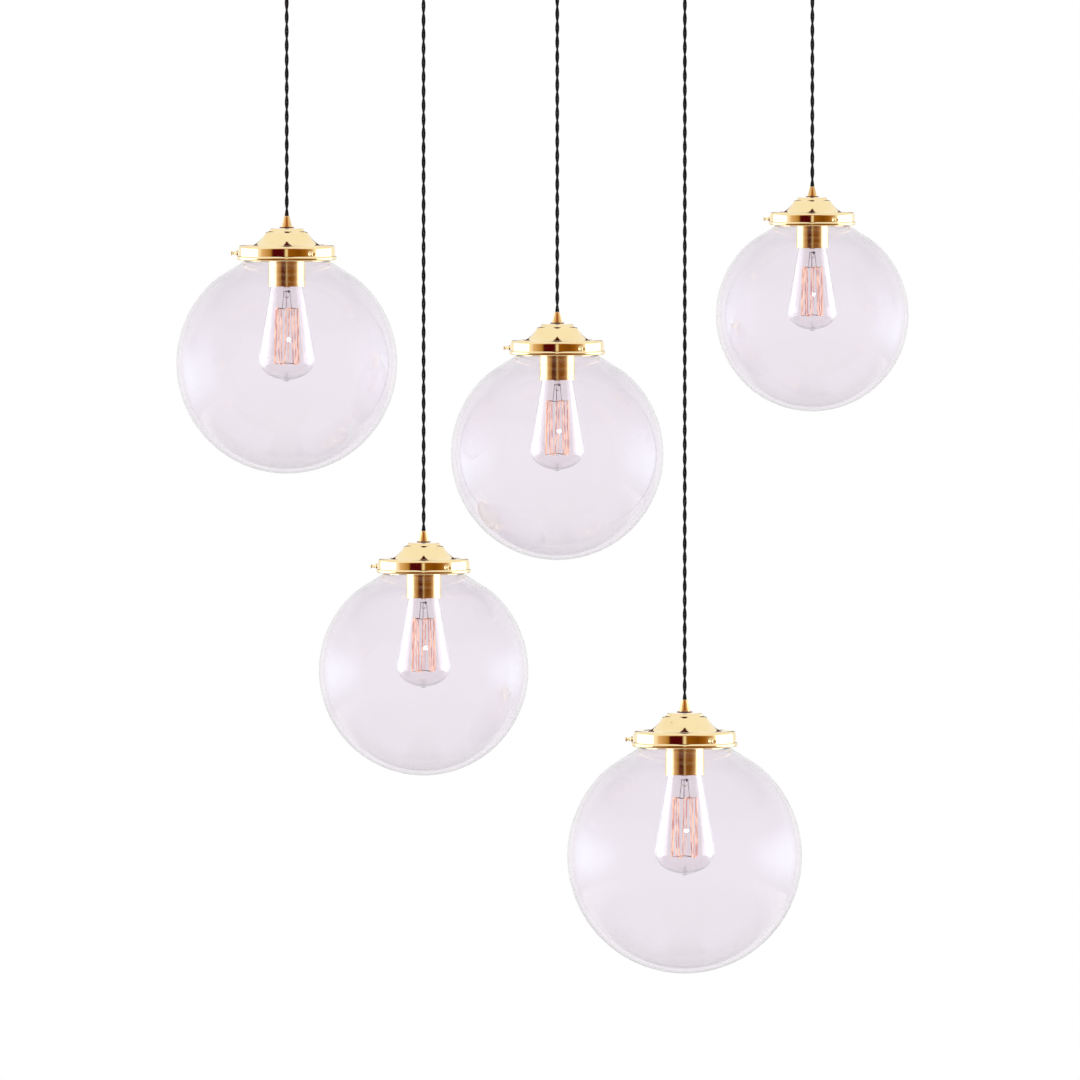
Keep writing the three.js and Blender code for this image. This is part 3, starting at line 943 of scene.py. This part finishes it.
def aroundPoint(radius, degrees, height):
    angle = math.radians(degrees)
    return Vector((radius * math.cos(angle), radius * math.sin(angle), height))


def strandAngle(strand, lean):
    return lamp["firstStrand"] + 360 * strand / lamp["strands"] + lean * (1 if strand % 2 else -1)


def addLampPart(pendant, name, shape, finish, sharp=35):
    addHung(pendant, name, shape, finish, "lamp", "bulb_mount", sharp)


def addFilament(pendant, cageTop, cageFoot):
    size = pendant["size"]
    route = []
    for strand in range(lamp["strands"]):
        topAngle = strandAngle(strand, lamp["lean"])
        footAngle = strandAngle(strand, -lamp["lean"])
        high = aroundPoint(lamp["topRadius"] * size, topAngle, cageTop - lamp["bendHeight"])
        low = aroundPoint(lamp["footRadius"] * size, footAngle, cageFoot + lamp["bendHeight"])
        down = strand % 2 == 0
        route += [high, low] if down else [low, high]
        following = (strand + 1) % lamp["strands"]
        if down:
            first, second = footAngle, strandAngle(following, -lamp["lean"])
            radius, base, rise = lamp["footRadius"] * size, cageFoot + lamp["bendHeight"], -1
        else:
            first, second = topAngle, strandAngle(following, lamp["lean"])
            radius, base, rise = lamp["topRadius"] * size, cageTop - lamp["bendHeight"], 1
        span = (second - first) % 360
        for step in range(1, 6):
            part = step / 6
            lift = math.sin(math.pi * part) * lamp["bendHeight"] * rise
            route.append(aroundPoint(radius, first + span * part, base + lift))
    addLampPart(pendant, "filament", wireOf(route, lamp["wireRadius"], closed=True), "filament", 60)


def addSupports(pendant, cageTop, cageFoot, stemFoot):
    size = pendant["size"]
    stem = lamp["stemRadius"]
    shape = bmesh.new()
    half = 180 / lamp["strands"]
    for height, radius, first, hook in (
        (cageTop, lamp["topRadius"] * size, -half, 1),
        (cageFoot, lamp["footRadius"] * size, half, -1),
    ):
        for arm in range(lamp["strands"] // 2):
            degrees = lamp["firstStrand"] + first + arm * 4 * half
            start = aroundPoint(lamp["rodRadius"] * 0.5 * size, degrees, height - hook * 1.2)
            bend = aroundPoint(radius * 0.55, degrees, height - hook * 0.3)
            end = aroundPoint(radius, degrees, height + hook * 0.2)
            tip = aroundPoint(radius + 0.5, degrees, height - hook * 0.8)
            joined(shape, wireOf([start, bend, end, tip], lamp["armRadius"]))
    for degrees in lamp["leadAngles"]:
        lead = [
            aroundPoint(stem * 0.9 * size, degrees, stemFoot + 7 * size),
            aroundPoint((stem + 0.5) * size, degrees, stemFoot + 3 * size),
            aroundPoint((stem + 0.9) * size, degrees, stemFoot - 2 * size),
            aroundPoint(lamp["topRadius"] * 0.42 * size, degrees, cageTop),
        ]
        joined(shape, wireOf(lead, lamp["leadRadius"]))
    for index in range(lamp["beads"]):
        bead = bmesh.new()
        aside = (index - lamp["beads"] // 2) * lamp["beadStep"]
        ahead = -math.sqrt(max(stem ** 2 - aside ** 2, 0)) - 0.4
        spot = Vector((aside * size, ahead * size, stemFoot + 5.5 * size)) * mm
        bmesh.ops.create_icosphere(bead, subdivisions=2, radius=lamp["beadRadius"] * size * mm,
            matrix=Matrix.Translation(spot))
        joined(shape, bead)
    addLampPart(pendant, "supports", shape, "supportWire", 60)


def addBulbMount(pendant):
    size = pendant["size"]
    foot = holderFoot(size)
    capFoot = foot + holder["neckRoom"] * size + 0.3
    capTop = capFoot + lamp["capLength"] - 0.3
    cageTop = foot - lamp["cageTop"] * size
    cageFoot = cageTop - lamp["cageHeight"] * size
    stemFoot = foot - lamp["stemDepth"] * size
    threadFoot = capFoot + 4
    threadTop = capTop - lamp["shoulderLength"]
    capOut = lamp["capRadius"] - 0.3
    capIn = lamp["capRadius"] - 1.3
    contact = lamp["contactRadius"]
    cap = turned([
        (0, capFoot),
        (capOut, capFoot, 0.4),
        (capOut, threadFoot - 1, 0.5),
        (capIn, threadFoot, 0.5),
        (capIn, threadTop, 1),
        (contact + 2.5, threadTop + 1),
        (0, threadTop + 1),
    ], 72)
    thread = helixOf(0.95, capIn + 0.2, lamp["threadPitch"], threadTop - threadFoot - 1.9, 0, 8, 40)
    joined(cap, thread, Matrix.Translation((0, 0, (threadFoot + 1) * mm)))
    addLampPart(pendant, "lamp_cap", cap, "nickel")
    addLampPart(pendant, "insulator", turned([
        (0, threadTop + 0.9),
        (contact + 2.8, threadTop + 0.9, 0.5),
        (contact, capTop - 0.9, 0.6),
        (0, capTop - 0.9),
    ], 48), "blackGlass")
    addLampPart(pendant, "contact", turned([
        (0, capTop - 1),
        (contact - 0.8, capTop - 1, 0.3),
        (contact - 1.2, capTop - 0.2, 0.4),
        (0, capTop),
    ], 40), "nickel")
    rod = lamp["rodRadius"] * size
    stem = lamp["stemRadius"] * size
    flare = curveOf((lamp["stemFlare"], capFoot), (stem * 1.2, capFoot - 4 * size),
        (stem, foot + 2 * size), (stem, stemFoot + 2), 8)
    addLampPart(pendant, "glass_stem", turned([
        (0, capFoot + 0.1),
        *flare,
        (stem * 0.9, stemFoot, 0.8),
        (rod, stemFoot - 1.5, 0.5),
        (rod, cageFoot - 1, 0.6),
        (0, cageFoot - 1.6),
    ], 40), "stemGlass", 60)
    addSupports(pendant, cageTop, cageFoot, stemFoot)
    addFilament(pendant, cageTop, cageFoot)


for pendant in pendants:
    addCordGrip(pendant)
    addGallery(pendant)
    addThumbScrews(pendant)
    addLampholder(pendant)
    addGlobe(pendant)
    addBulbGlass(pendant)
    addBulbMount(pendant)
    print("pendant", pendant["number"], "made, size", round(pendant["size"], 4))


# Canopy: long folded pan with rounded corners and holes for the grips and studs
canopy = {
    "cornerRadius": 14,
    "edgeRadius": 2.5,
    "wall": 1.5,
    "gripHole": 5.3,
    "studHole": 2.8,
}


def roundEdges(shape, edges, radius, segments):
    bmesh.ops.bevel(shape, geom=edges, offset=radius, offset_type="OFFSET", segments=segments,
        profile=0.5, affect="EDGES", material=-1)


def boxShape(low, high, cornerRadius, footRadius):
    # an upright box in metres, with rounded upright corners and a rounded foot
    shape = bmesh.new()
    bmesh.ops.create_cube(shape, size=1)
    shape.transform(Matrix.Translation((low + high) / 2) @ Matrix.Diagonal((*(high - low), 1)))
    upright = [edge for edge in shape.edges if abs((edge.verts[0].co - edge.verts[1].co).z) > 1e-6]
    roundEdges(shape, upright, cornerRadius, 8)
    if footRadius:
        rim = [edge for edge in shape.edges if max(vert.co.z for vert in edge.verts) < low.z + 1e-6]
        roundEdges(shape, rim, footRadius, 4)
    bmesh.ops.recalc_face_normals(shape, faces=shape.faces[:])
    return shape


def studPlaces():
    low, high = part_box("canopy_nut_left")
    left = (low.x + high.x) / 2
    return (left, -left)


def addCanopy():
    low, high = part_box("canopy")
    shape = boxShape(low, high, canopy["cornerRadius"] * mm, canopy["edgeRadius"] * mm)
    top = [face for face in shape.faces if face.normal.z > 0.9]
    bmesh.ops.delete(shape, geom=top, context="FACES")
    bmesh.ops.solidify(shape, geom=shape.faces[:], thickness=canopy["wall"] * mm)
    holes = bmesh.new()
    places = [(pendant["x"], canopy["gripHole"]) for pendant in pendants]
    places += [(x, canopy["studHole"]) for x in studPlaces()]
    for x, radius in places:
        joined(holes, bar(radius, low.z / mm - 5, low.z / mm + 5, 48), Matrix.Translation((x, 0, 0)))
    shape = cut(shape, holes)
    addPiece("ceiling_pan", shape, "polishedBrass", "fitting", ["canopy"], sharp=30)


bracket = {
    "thickness": 3,
    "cornerRadius": 6.5,
    "slotLength": 22,
    "slotWidth": 6,
    "slotInset": 40,
    "cableHole": 8,
    "cableOffset": 62,
    "studRadius": 2.35,
    "threadPitch": 0.8,
}


def addBracket():
    low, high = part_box("ceiling_bracket")
    plateLow = Vector((low.x, low.y, high.z - bracket["thickness"] * mm))
    shape = boxShape(plateLow, high, bracket["cornerRadius"] * mm, 0)
    holes = bmesh.new()
    slotMiddle = high.x - bracket["slotInset"] * mm
    for side in (-1, 1):
        half = Vector((bracket["slotLength"], bracket["slotWidth"], 12)) / 2 * mm
        middle = Vector((side * slotMiddle, 0, plateLow.z))
        slot = boxShape(middle - half, middle + half, bracket["slotWidth"] / 2 * mm * 0.999, 0)
        joined(holes, slot)
    hole = bar(bracket["cableHole"], -8, 4, 48)
    joined(holes, hole, Matrix.Translation((bracket["cableOffset"] * mm, 0, 0)))
    shape = cut(shape, holes)
    studTop = plateLow.z / mm + 1
    for x in studPlaces():
        stud = bar(bracket["studRadius"], low.z / mm, studTop, 32, 0.4)
        joined(shape, stud, Matrix.Translation((x, 0, 0)))
        length = studTop - 1.4 - low.z / mm
        thread = helixOf(0.2, bracket["studRadius"], bracket["threadPitch"], length, 0, 5, 16)
        joined(shape, thread, Matrix.Translation((x, 0, low.z + 0.7 * mm)))
    addPiece("bracket_strap", shape, "zincSteel", "fitting", ["ceiling_bracket"],
        sharp=30)


canopyNut = {
    "radius": 7,
    "crown": 2.5,
    "bore": 2.8,
    "ridges": 36,
}


def addCanopyNuts():
    radius = canopyNut["radius"]
    for side, x in zip(("left", "right"), studPlaces()):
        low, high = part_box(f"canopy_nut_{side}")
        foot, top = low.z / mm, high.z / mm
        rim = foot + canopyNut["crown"]
        shape = turned([
            (0, foot),
            (radius - canopyNut["crown"] - 0.8, foot, 1),
            (radius - 0.4, rim, 0.4),
            (radius, rim + 0.4, 0.2),
            (radius, top - 0.5, 0.3),
            (radius - 0.5, top, 0.2),
            (canopyNut["bore"], top, 0.3),
            (canopyNut["bore"], rim),
            (0, rim),
        ], 2 * canopyNut["ridges"])
        knurl(shape, radius, rim + 0.4, top - 0.4, canopyNut["ridges"])
        addPiece(f"nut_{side}", shape, "polishedBrass", "fitting",
            [f"canopy_nut_{side}"], Matrix.Translation((x, 0, 0)), 40)


def addCeilingGrips():
    nutTop = -canopy["wall"] - grip["nutGap"]
    for pendant in pendants:
        number = pendant["number"]
        node = f"ceiling_grip_{number}"
        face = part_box(node)[0].z + (grip["flangeHeight"] + grip["coneHeight"]) * mm
        place = Matrix.Translation((pendant["x"], 0, face)) @ Matrix.Rotation(math.pi, 4, "X")
        nut = bar(grip["nutRadius"], nutTop - grip["nutHeight"], nutTop, 6, 0.4)
        for name, shape, finish in (
            # the grip's darker brass is painted shade
            ("upper_grip", joined(gripShape(1), nut), "gripBrass"),
            # the flange's dark brown brass is painted shade
            ("upper_flange", flangeShape(1), "agedBrass"),
        ):
            addPiece(f"{name}_{number}", shape, finish, "fitting", [node], place)


block = {
    "poles": 3,
    "grooveWidth": 2.5,
    "grooveDepth": 4,
    "screwRadius": 2.6,
    "rowOffset": 5,  # of the screws, to each side
    "edge": 0.6,
}


def addTerminalBlock():
    low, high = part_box("terminal_block")
    pitch = (high.x - low.x) / block["poles"]
    rows = [
        Vector((low.x + (pole + 0.5) * pitch, side * block["rowOffset"] * mm, low.z))
        for pole in range(block["poles"])
        for side in (-1, 1)
    ]
    past = Vector((0, 5, 5)) * mm
    half = Vector((block["grooveWidth"] / 2 * mm, 0, 0))
    holes = bmesh.new()
    for pole in range(1, block["poles"]):
        start = Vector((low.x + pole * pitch, low.y, low.z))
        end = Vector((start.x, high.y + past.y, low.z + block["grooveDepth"] * mm))
        joined(holes, boxShape(start - half - past, end + half, 0.5 * mm, 0))
    screws = bmesh.new()
    for spot in rows:
        place = Matrix.Translation(spot)
        joined(holes, bar(block["screwRadius"], -2, 3, 32), place)
        joined(screws, bar(block["screwRadius"] - 0.3, 1.2, 2.9, 32, 0.3), place)
    shape = cut(boxShape(low, high, 2 * mm, block["edge"] * mm), holes)
    for name, body, finish, slot, sharp in (
        ("connector_block", shape, "whitePlastic", "white_plastic", 30),
        ("connector_screws", screws, "zincSteel", "zinc_steel", 35),
    ):
        addPiece(name, body, finish, "fitting", ["terminal_block"], sharp=sharp)


addCanopy()
addBracket()
addCanopyNuts()
addCeilingGrips()
addTerminalBlock()
for piece in bpy.context.scene.collection.objects:
    if piece.name.split("_")[0] not in ("camera", "shade"):
        piece.visible_glossy = False  # a gallery mirrors only the white room, as in the photograph
print("canopy made")

# Studio: white all round, two soft boxes beside the object, a dim room behind the camera, a far lamp
studio = {
    "floorHeight": -2.45,
    "floorRadius": 14.0,
    "floorRim": (0.25, 0.95),  # shares of the radius between which it fades
    "floorColour": (0.86, 0.86, 0.86),
    # painted reflection: the dim brown that the floor shows to brass only, for its dark undersides
    "paintedFloorReflection": (0.26, 0.12, 0.03),  # how brass sees the floor under it and before it
    "floorDim": (0.7, 0.2),  # how far behind the object that ends
    "plainLevel": 0.75,
    "boxAzimuth": 104,  # degrees from the camera's side
    "boxDistance": 4.0,
    "boxSize": (6.9, 3.6),
    "boxHeight": -1.15,
    "boxRadiance": 3.0,
    "boxOpen": ((2.45, 2.15), (1.8, 1.5)),  # half sizes where its light starts and is full
    "glintRadiance": (1.5, 1.65, 1.85),  # what clear glass mirrors of it, paler and with a soft edge
    "glintOpen": ((3.4, 0.7), (1.4, 0.1)),
    # what the thick wall of a globe mirrors inside itself, by the height of a direction
    "wallEcho": [
        (-1, 0.62), (-0.56, 0.58), (-0.46, 1), (0, 1), (0.12, 0.9), (0.36, 0.78), (0.5, 0.56),
        (1, 0.6),
    ],
    "glassBefore": (0.45, 0.43, 0.46),  # what clear glass mirrors, from the camera's side to behind
    "rail": ((0.22, 0.13), (0.62, 0.75), (-0.2, 0)),  # dark rail overhead: across, up and away
    "railColour": (0.01, 0.01, 0.01),
    "lampPlace": (2.1, 26.6, 20.0),  # far lamp: azimuth, elevation and distance
    "lampRadius": 1.0,
    "lampRadiance": 110.0,
    "wallHeights": (0.22, 0.42),  # the dim room turns amber between these heights of a direction
    "openHeights": (0.50, 0.62),  # and white between these
    # a dark strip behind the object: half width at each height of a direction
    "backStrip": [
        (0.3, 0), (0.34, 0.04), (0.69, 0.05), (0.81, 0.08), (0.92, 0.13), (0.96, 0.14),
        (0.985, 0.24), (1, 0.24),
    ],
    # two dark posts behind: middle and half size, across and up
    "backPosts": ((0.13, 0.07), (0.26, 0.16)),
    "backColour": (0.08, 0.012, 0.004),
    # what polished metal sees round it, by degrees from the camera's side, positive to the right
    "room": [
        (-180, (1, 1, 1)),
        (-76, (1, 1, 1)),
        (-67, (1.0, 0.90, 0.85)),
        (-60, (0.78, 0.52, 0.30)),
        (-38, (0.46, 0.24, 0.05)),
        (-33, (0.08, 0.003, 0.006)),
        (-5, (0.08, 0.003, 0.006)),
        (-2.5, (0.85, 0.75, 0.50)),
        (1.5, (0.98, 0.90, 0.70)),
        (4, (0.29, 0.11, 0.005)),
        (30, (0.21, 0.07, 0.004)),
        (46, (0.33, 0.13, 0.01)),
        (62, (0.60, 0.38, 0.20)),
        (70, (1.0, 0.90, 0.80)),
        (78, (1, 1, 1)),
        (180, (1, 1, 1)),
    ],
    "amberRoom": [
        (-180, (1, 1, 1)),
        (-58, (1, 0.97, 0.95)),
        (-40, (0.85, 0.60, 0.40)),
        (-20, (0.48, 0.18, 0.06)),
        (20, (0.42, 0.15, 0.05)),
        (40, (0.90, 0.70, 0.50)),
        (58, (1, 0.97, 0.95)),
        (180, (1, 1, 1)),
    ],
}


def rampOf(tree, factor, stops):
    ramp = addNode(tree, "ShaderNodeValToRGB")
    feed(tree, factor, ramp.inputs["Fac"])
    elements = ramp.color_ramp.elements
    elements[0].position, elements[0].color = stops[0][0], (*stops[0][1], 1)
    elements[1].position, elements[1].color = stops[-1][0], (*stops[-1][1], 1)
    for position, colour in stops[1:-1]:
        elements.new(position).color = (*colour, 1)
    return ramp.outputs["Color"]


def roomSeen(tree, across, away, height):
    azimuth = mathNode(tree, "ARCTAN2", across, mathNode(tree, "MULTIPLY", away, -1))
    turn = ranged(tree, azimuth, 0, 1, -math.pi, math.pi)
    walls, amber = (
        rampOf(tree, turn, [((degrees + 180) / 360, colour) for degrees, colour in studio[name]])
        for name in ("room", "amberRoom")  # two heights of the room
    )
    lower = blended(tree, eased(tree, height, *studio["wallHeights"]), walls, amber)
    room = blended(tree, eased(tree, height, *studio["openHeights"]), lower, (1, 1, 1))
    halfWidth = rampOf(tree, height, [(place, (width,) * 3) for place, width in studio["backStrip"]])
    ahead = mathNode(tree, "MAXIMUM", away, 0.01)
    aside = mathNode(tree, "DIVIDE", mathNode(tree, "ABSOLUTE", across), ahead)
    within = [
        mathNode(tree, "COMPARE", value, *ends)
        for value, ends in zip((aside, height), studio["backPosts"])
    ]
    posts = mathNode(tree, "MULTIPLY", *within)
    strip = mathNode(tree, "MAXIMUM", posts, mathNode(tree, "GREATER_THAN", halfWidth, aside))
    behind = mathNode(tree, "MULTIPLY", strip, mathNode(tree, "GREATER_THAN", away, 0.05))
    return blended(tree, behind, room, studio["backColour"])


def addWorld():
    world = bpy.data.worlds.new("studio")
    bpy.context.scene.world = world
    world.cycles.sampling_method = "NONE"
    world.use_nodes = True
    tree = world.node_tree
    background = tree.nodes["Background"]
    direction = addNode(tree, "ShaderNodeTexCoord").outputs["Generated"]
    across, away, height = partsOf(tree, direction)
    path = lightPath(tree)
    mirrored = mathNode(tree, "GREATER_THAN", path["Glossy Depth"], 0.5)
    byGlass = path["Is Singular Ray"]
    room = roomSeen(tree, across, away, height)
    before = blended(tree, eased(tree, away, 0.3, 0.9), studio["glassBefore"], (1, 1, 1))
    echoes = [((place + 1) / 2, (level, level * 0.98, level)) for place, level in studio["wallEcho"]]
    wallEcho = rampOf(tree, ranged(tree, height, 0, 1, -1, 1), echoes)
    glint = blended(tree, path["Is Transmission Ray"], before, wallEcho)
    sides = (mathNode(tree, "ABSOLUTE", across), height, away)
    rail = [eased(tree, side, *ends) for side, ends in zip(sides, studio["rail"])]
    overhead = mathNode(tree, "MULTIPLY", mathNode(tree, "MULTIPLY", rail[0], rail[1]), rail[2])
    glint = blended(tree, overhead, glint, studio["railColour"])
    echoed = blended(tree, mirrored, (1, 1, 1), blended(tree, byGlass, room, glint))
    lit = blended(tree, path["Is Diffuse Ray"], echoed, (studio["plainLevel"],) * 3)
    feed(tree, lit, background.inputs["Color"])
    background.inputs["Strength"].default_value = 1


def softBoxLight():
    material, tree, shader = startMaterial("soft box")
    spot = partsOf(tree, objectCoords(tree))
    opened = []
    for name in ("boxOpen", "glintOpen"):
        faded = [
            eased(tree, mathNode(tree, "ABSOLUTE", spot[axis]), *ends)
            for axis, ends in zip("XY", studio[name])
        ]
        opened.append(mathNode(tree, "MULTIPLY", *faded))
    path = lightPath(tree)
    byGlass = path["Is Singular Ray"]
    # clear from behind, and to a look straight through glass
    bounces = mathNode(tree, "ADD", path["Glossy Depth"], path["Diffuse Depth"])
    direct = mathNode(tree, "LESS_THAN", bounces, 0.5)
    passing = mathNode(tree, "MULTIPLY", direct, path["Is Transmission Ray"])
    behind = addNode(tree, "ShaderNodeNewGeometry").outputs["Backfacing"]
    front = mathNode(tree, "SUBTRACT", 1, mathNode(tree, "MAXIMUM", passing, behind))
    share = addNode(tree, "ShaderNodeMix", data_type="FLOAT")
    feed(tree, byGlass, share.inputs["Factor"])
    for socket, source in zip(share.inputs[2:4], opened):
        feed(tree, source, socket)
    glow = addNode(tree, "ShaderNodeEmission")
    colour = blended(tree, byGlass, (studio["boxRadiance"],) * 3, studio["glintRadiance"])
    feed(tree, colour, glow.inputs["Color"])
    lit = mathNode(tree, "MULTIPLY", share.outputs[0], front)
    setSurface(tree, mixedShaders(tree, lit, clearShader(tree), glow.outputs["Emission"]))
    tree.nodes.remove(shader)
    return material


def directionOf(azimuth, elevation=0.0):
    # degrees, the azimuth from the camera's side
    turn, lift = math.radians(azimuth), math.radians(elevation)
    return Vector((math.sin(turn) * math.cos(lift), -math.cos(turn) * math.cos(lift), math.sin(lift)))


def addSoftBox(name, azimuth, material):
    shape = bmesh.new()
    bmesh.ops.create_grid(shape, x_segments=1, y_segments=1, size=0.5)
    bmesh.ops.scale(shape, vec=(*studio["boxSize"], 1), verts=shape.verts[:])
    lightBox = linked(name, meshOf(name, shape, material))
    away = directionOf(azimuth) * studio["boxDistance"]
    lightBox.location = away + up * studio["boxHeight"]
    lightBox.rotation_euler = (-away).to_track_quat("Z", "Y").to_euler()
    lightBox.visible_camera = False


# A lamp far above the camera, seen only as the small bright spot on the front of each globe
def addFarLamp():
    material, tree, shader = startMaterial("far lamp")
    material.cycles.emission_sampling = "NONE"
    radius = studio["lampRadius"]
    faded = eased(tree, lengthOf(tree, objectCoords(tree)), radius, radius * 0.4)
    glow = addNode(tree, "ShaderNodeEmission")
    feed(tree, mathNode(tree, "MULTIPLY", faded, studio["lampRadiance"]), glow.inputs["Strength"])
    path = lightPath(tree)
    outermost = mathNode(tree, "LESS_THAN", path["Transmission Depth"], 0.5)
    sharp = mathNode(tree, "MULTIPLY", path["Is Glossy Ray"], path["Is Singular Ray"])
    seen = mathNode(tree, "MULTIPLY", outermost, sharp)
    setSurface(tree, mixedShaders(tree, seen, clearShader(tree), glow.outputs["Emission"]))
    tree.nodes.remove(shader)
    shape = bmesh.new()
    bmesh.ops.create_circle(shape, cap_ends=True, segments=48, radius=radius)
    farLamp = linked("farLamp", meshOf("farLamp", shape, material))
    azimuth, elevation, distance = studio["lampPlace"]
    away = directionOf(azimuth, elevation) * distance
    farLamp.location = away + Vector(cameraSetup["middle"]) * mm
    farLamp.rotation_euler = away.to_track_quat("Z", "Y").to_euler()
    farLamp.visible_camera = False
    farLamp.visible_diffuse = False
    farLamp.visible_shadow = False


# Floor: pale, clear at its rim, from below and through glass, so that the white room closes in
def addFloor():
    material, tree, shader = startMaterial("studio floor")
    coords = objectCoords(tree)
    colour = studio["floorColour"]
    darker = tuple(channel * 0.98 for channel in colour)
    feed(tree, blended(tree, noiseOf(tree, coords, 3), colour, darker), shader.inputs["Base Color"])
    shader.inputs["Roughness"].default_value = 0.9
    rim = [share * studio["floorRadius"] for share in studio["floorRim"]]
    faded = ranged(tree, lengthOf(tree, coords), 0, 1, *rim)
    below = addNode(tree, "ShaderNodeNewGeometry").outputs["Backfacing"]
    clear = clearShader(tree)
    plain = mixedShaders(tree, mathNode(tree, "MAXIMUM", faded, below), shader.outputs["BSDF"], clear)
    path = lightPath(tree)
    # painted reflection: to blurred mirror rays the near part of the floor glows a dim brown, which
    # paints a dark reflection on the brass
    dim = addNode(tree, "ShaderNodeEmission")
    dim.inputs["Color"].default_value = (*studio["paintedFloorReflection"], 1)
    nearSide = eased(tree, partsOf(tree, coords)["Y"], *studio["floorDim"])
    paintedReflectionShare = mathNode(tree, "MULTIPLY", nearSide, blurredMirror(tree, path))
    mirrored = mixedShaders(tree, paintedReflectionShare, plain, dim.outputs["Emission"])
    setSurface(tree, mixedShaders(tree, path["Is Transmission Ray"], mirrored, clear))
    shape = bmesh.new()
    bmesh.ops.create_circle(shape, cap_ends=True, segments=96, radius=studio["floorRadius"])
    shape.transform(Matrix.Translation((0, 0, studio["floorHeight"])))
    linked("floor", meshOf("floor", shape, material))


addWorld()
boxLight = softBoxLight()
addSoftBox("softBoxLeft", -studio["boxAzimuth"], boxLight)
addSoftBox("softBoxRight", studio["boxAzimuth"], boxLight)
addFarLamp()
addFloor()
print("studio made")
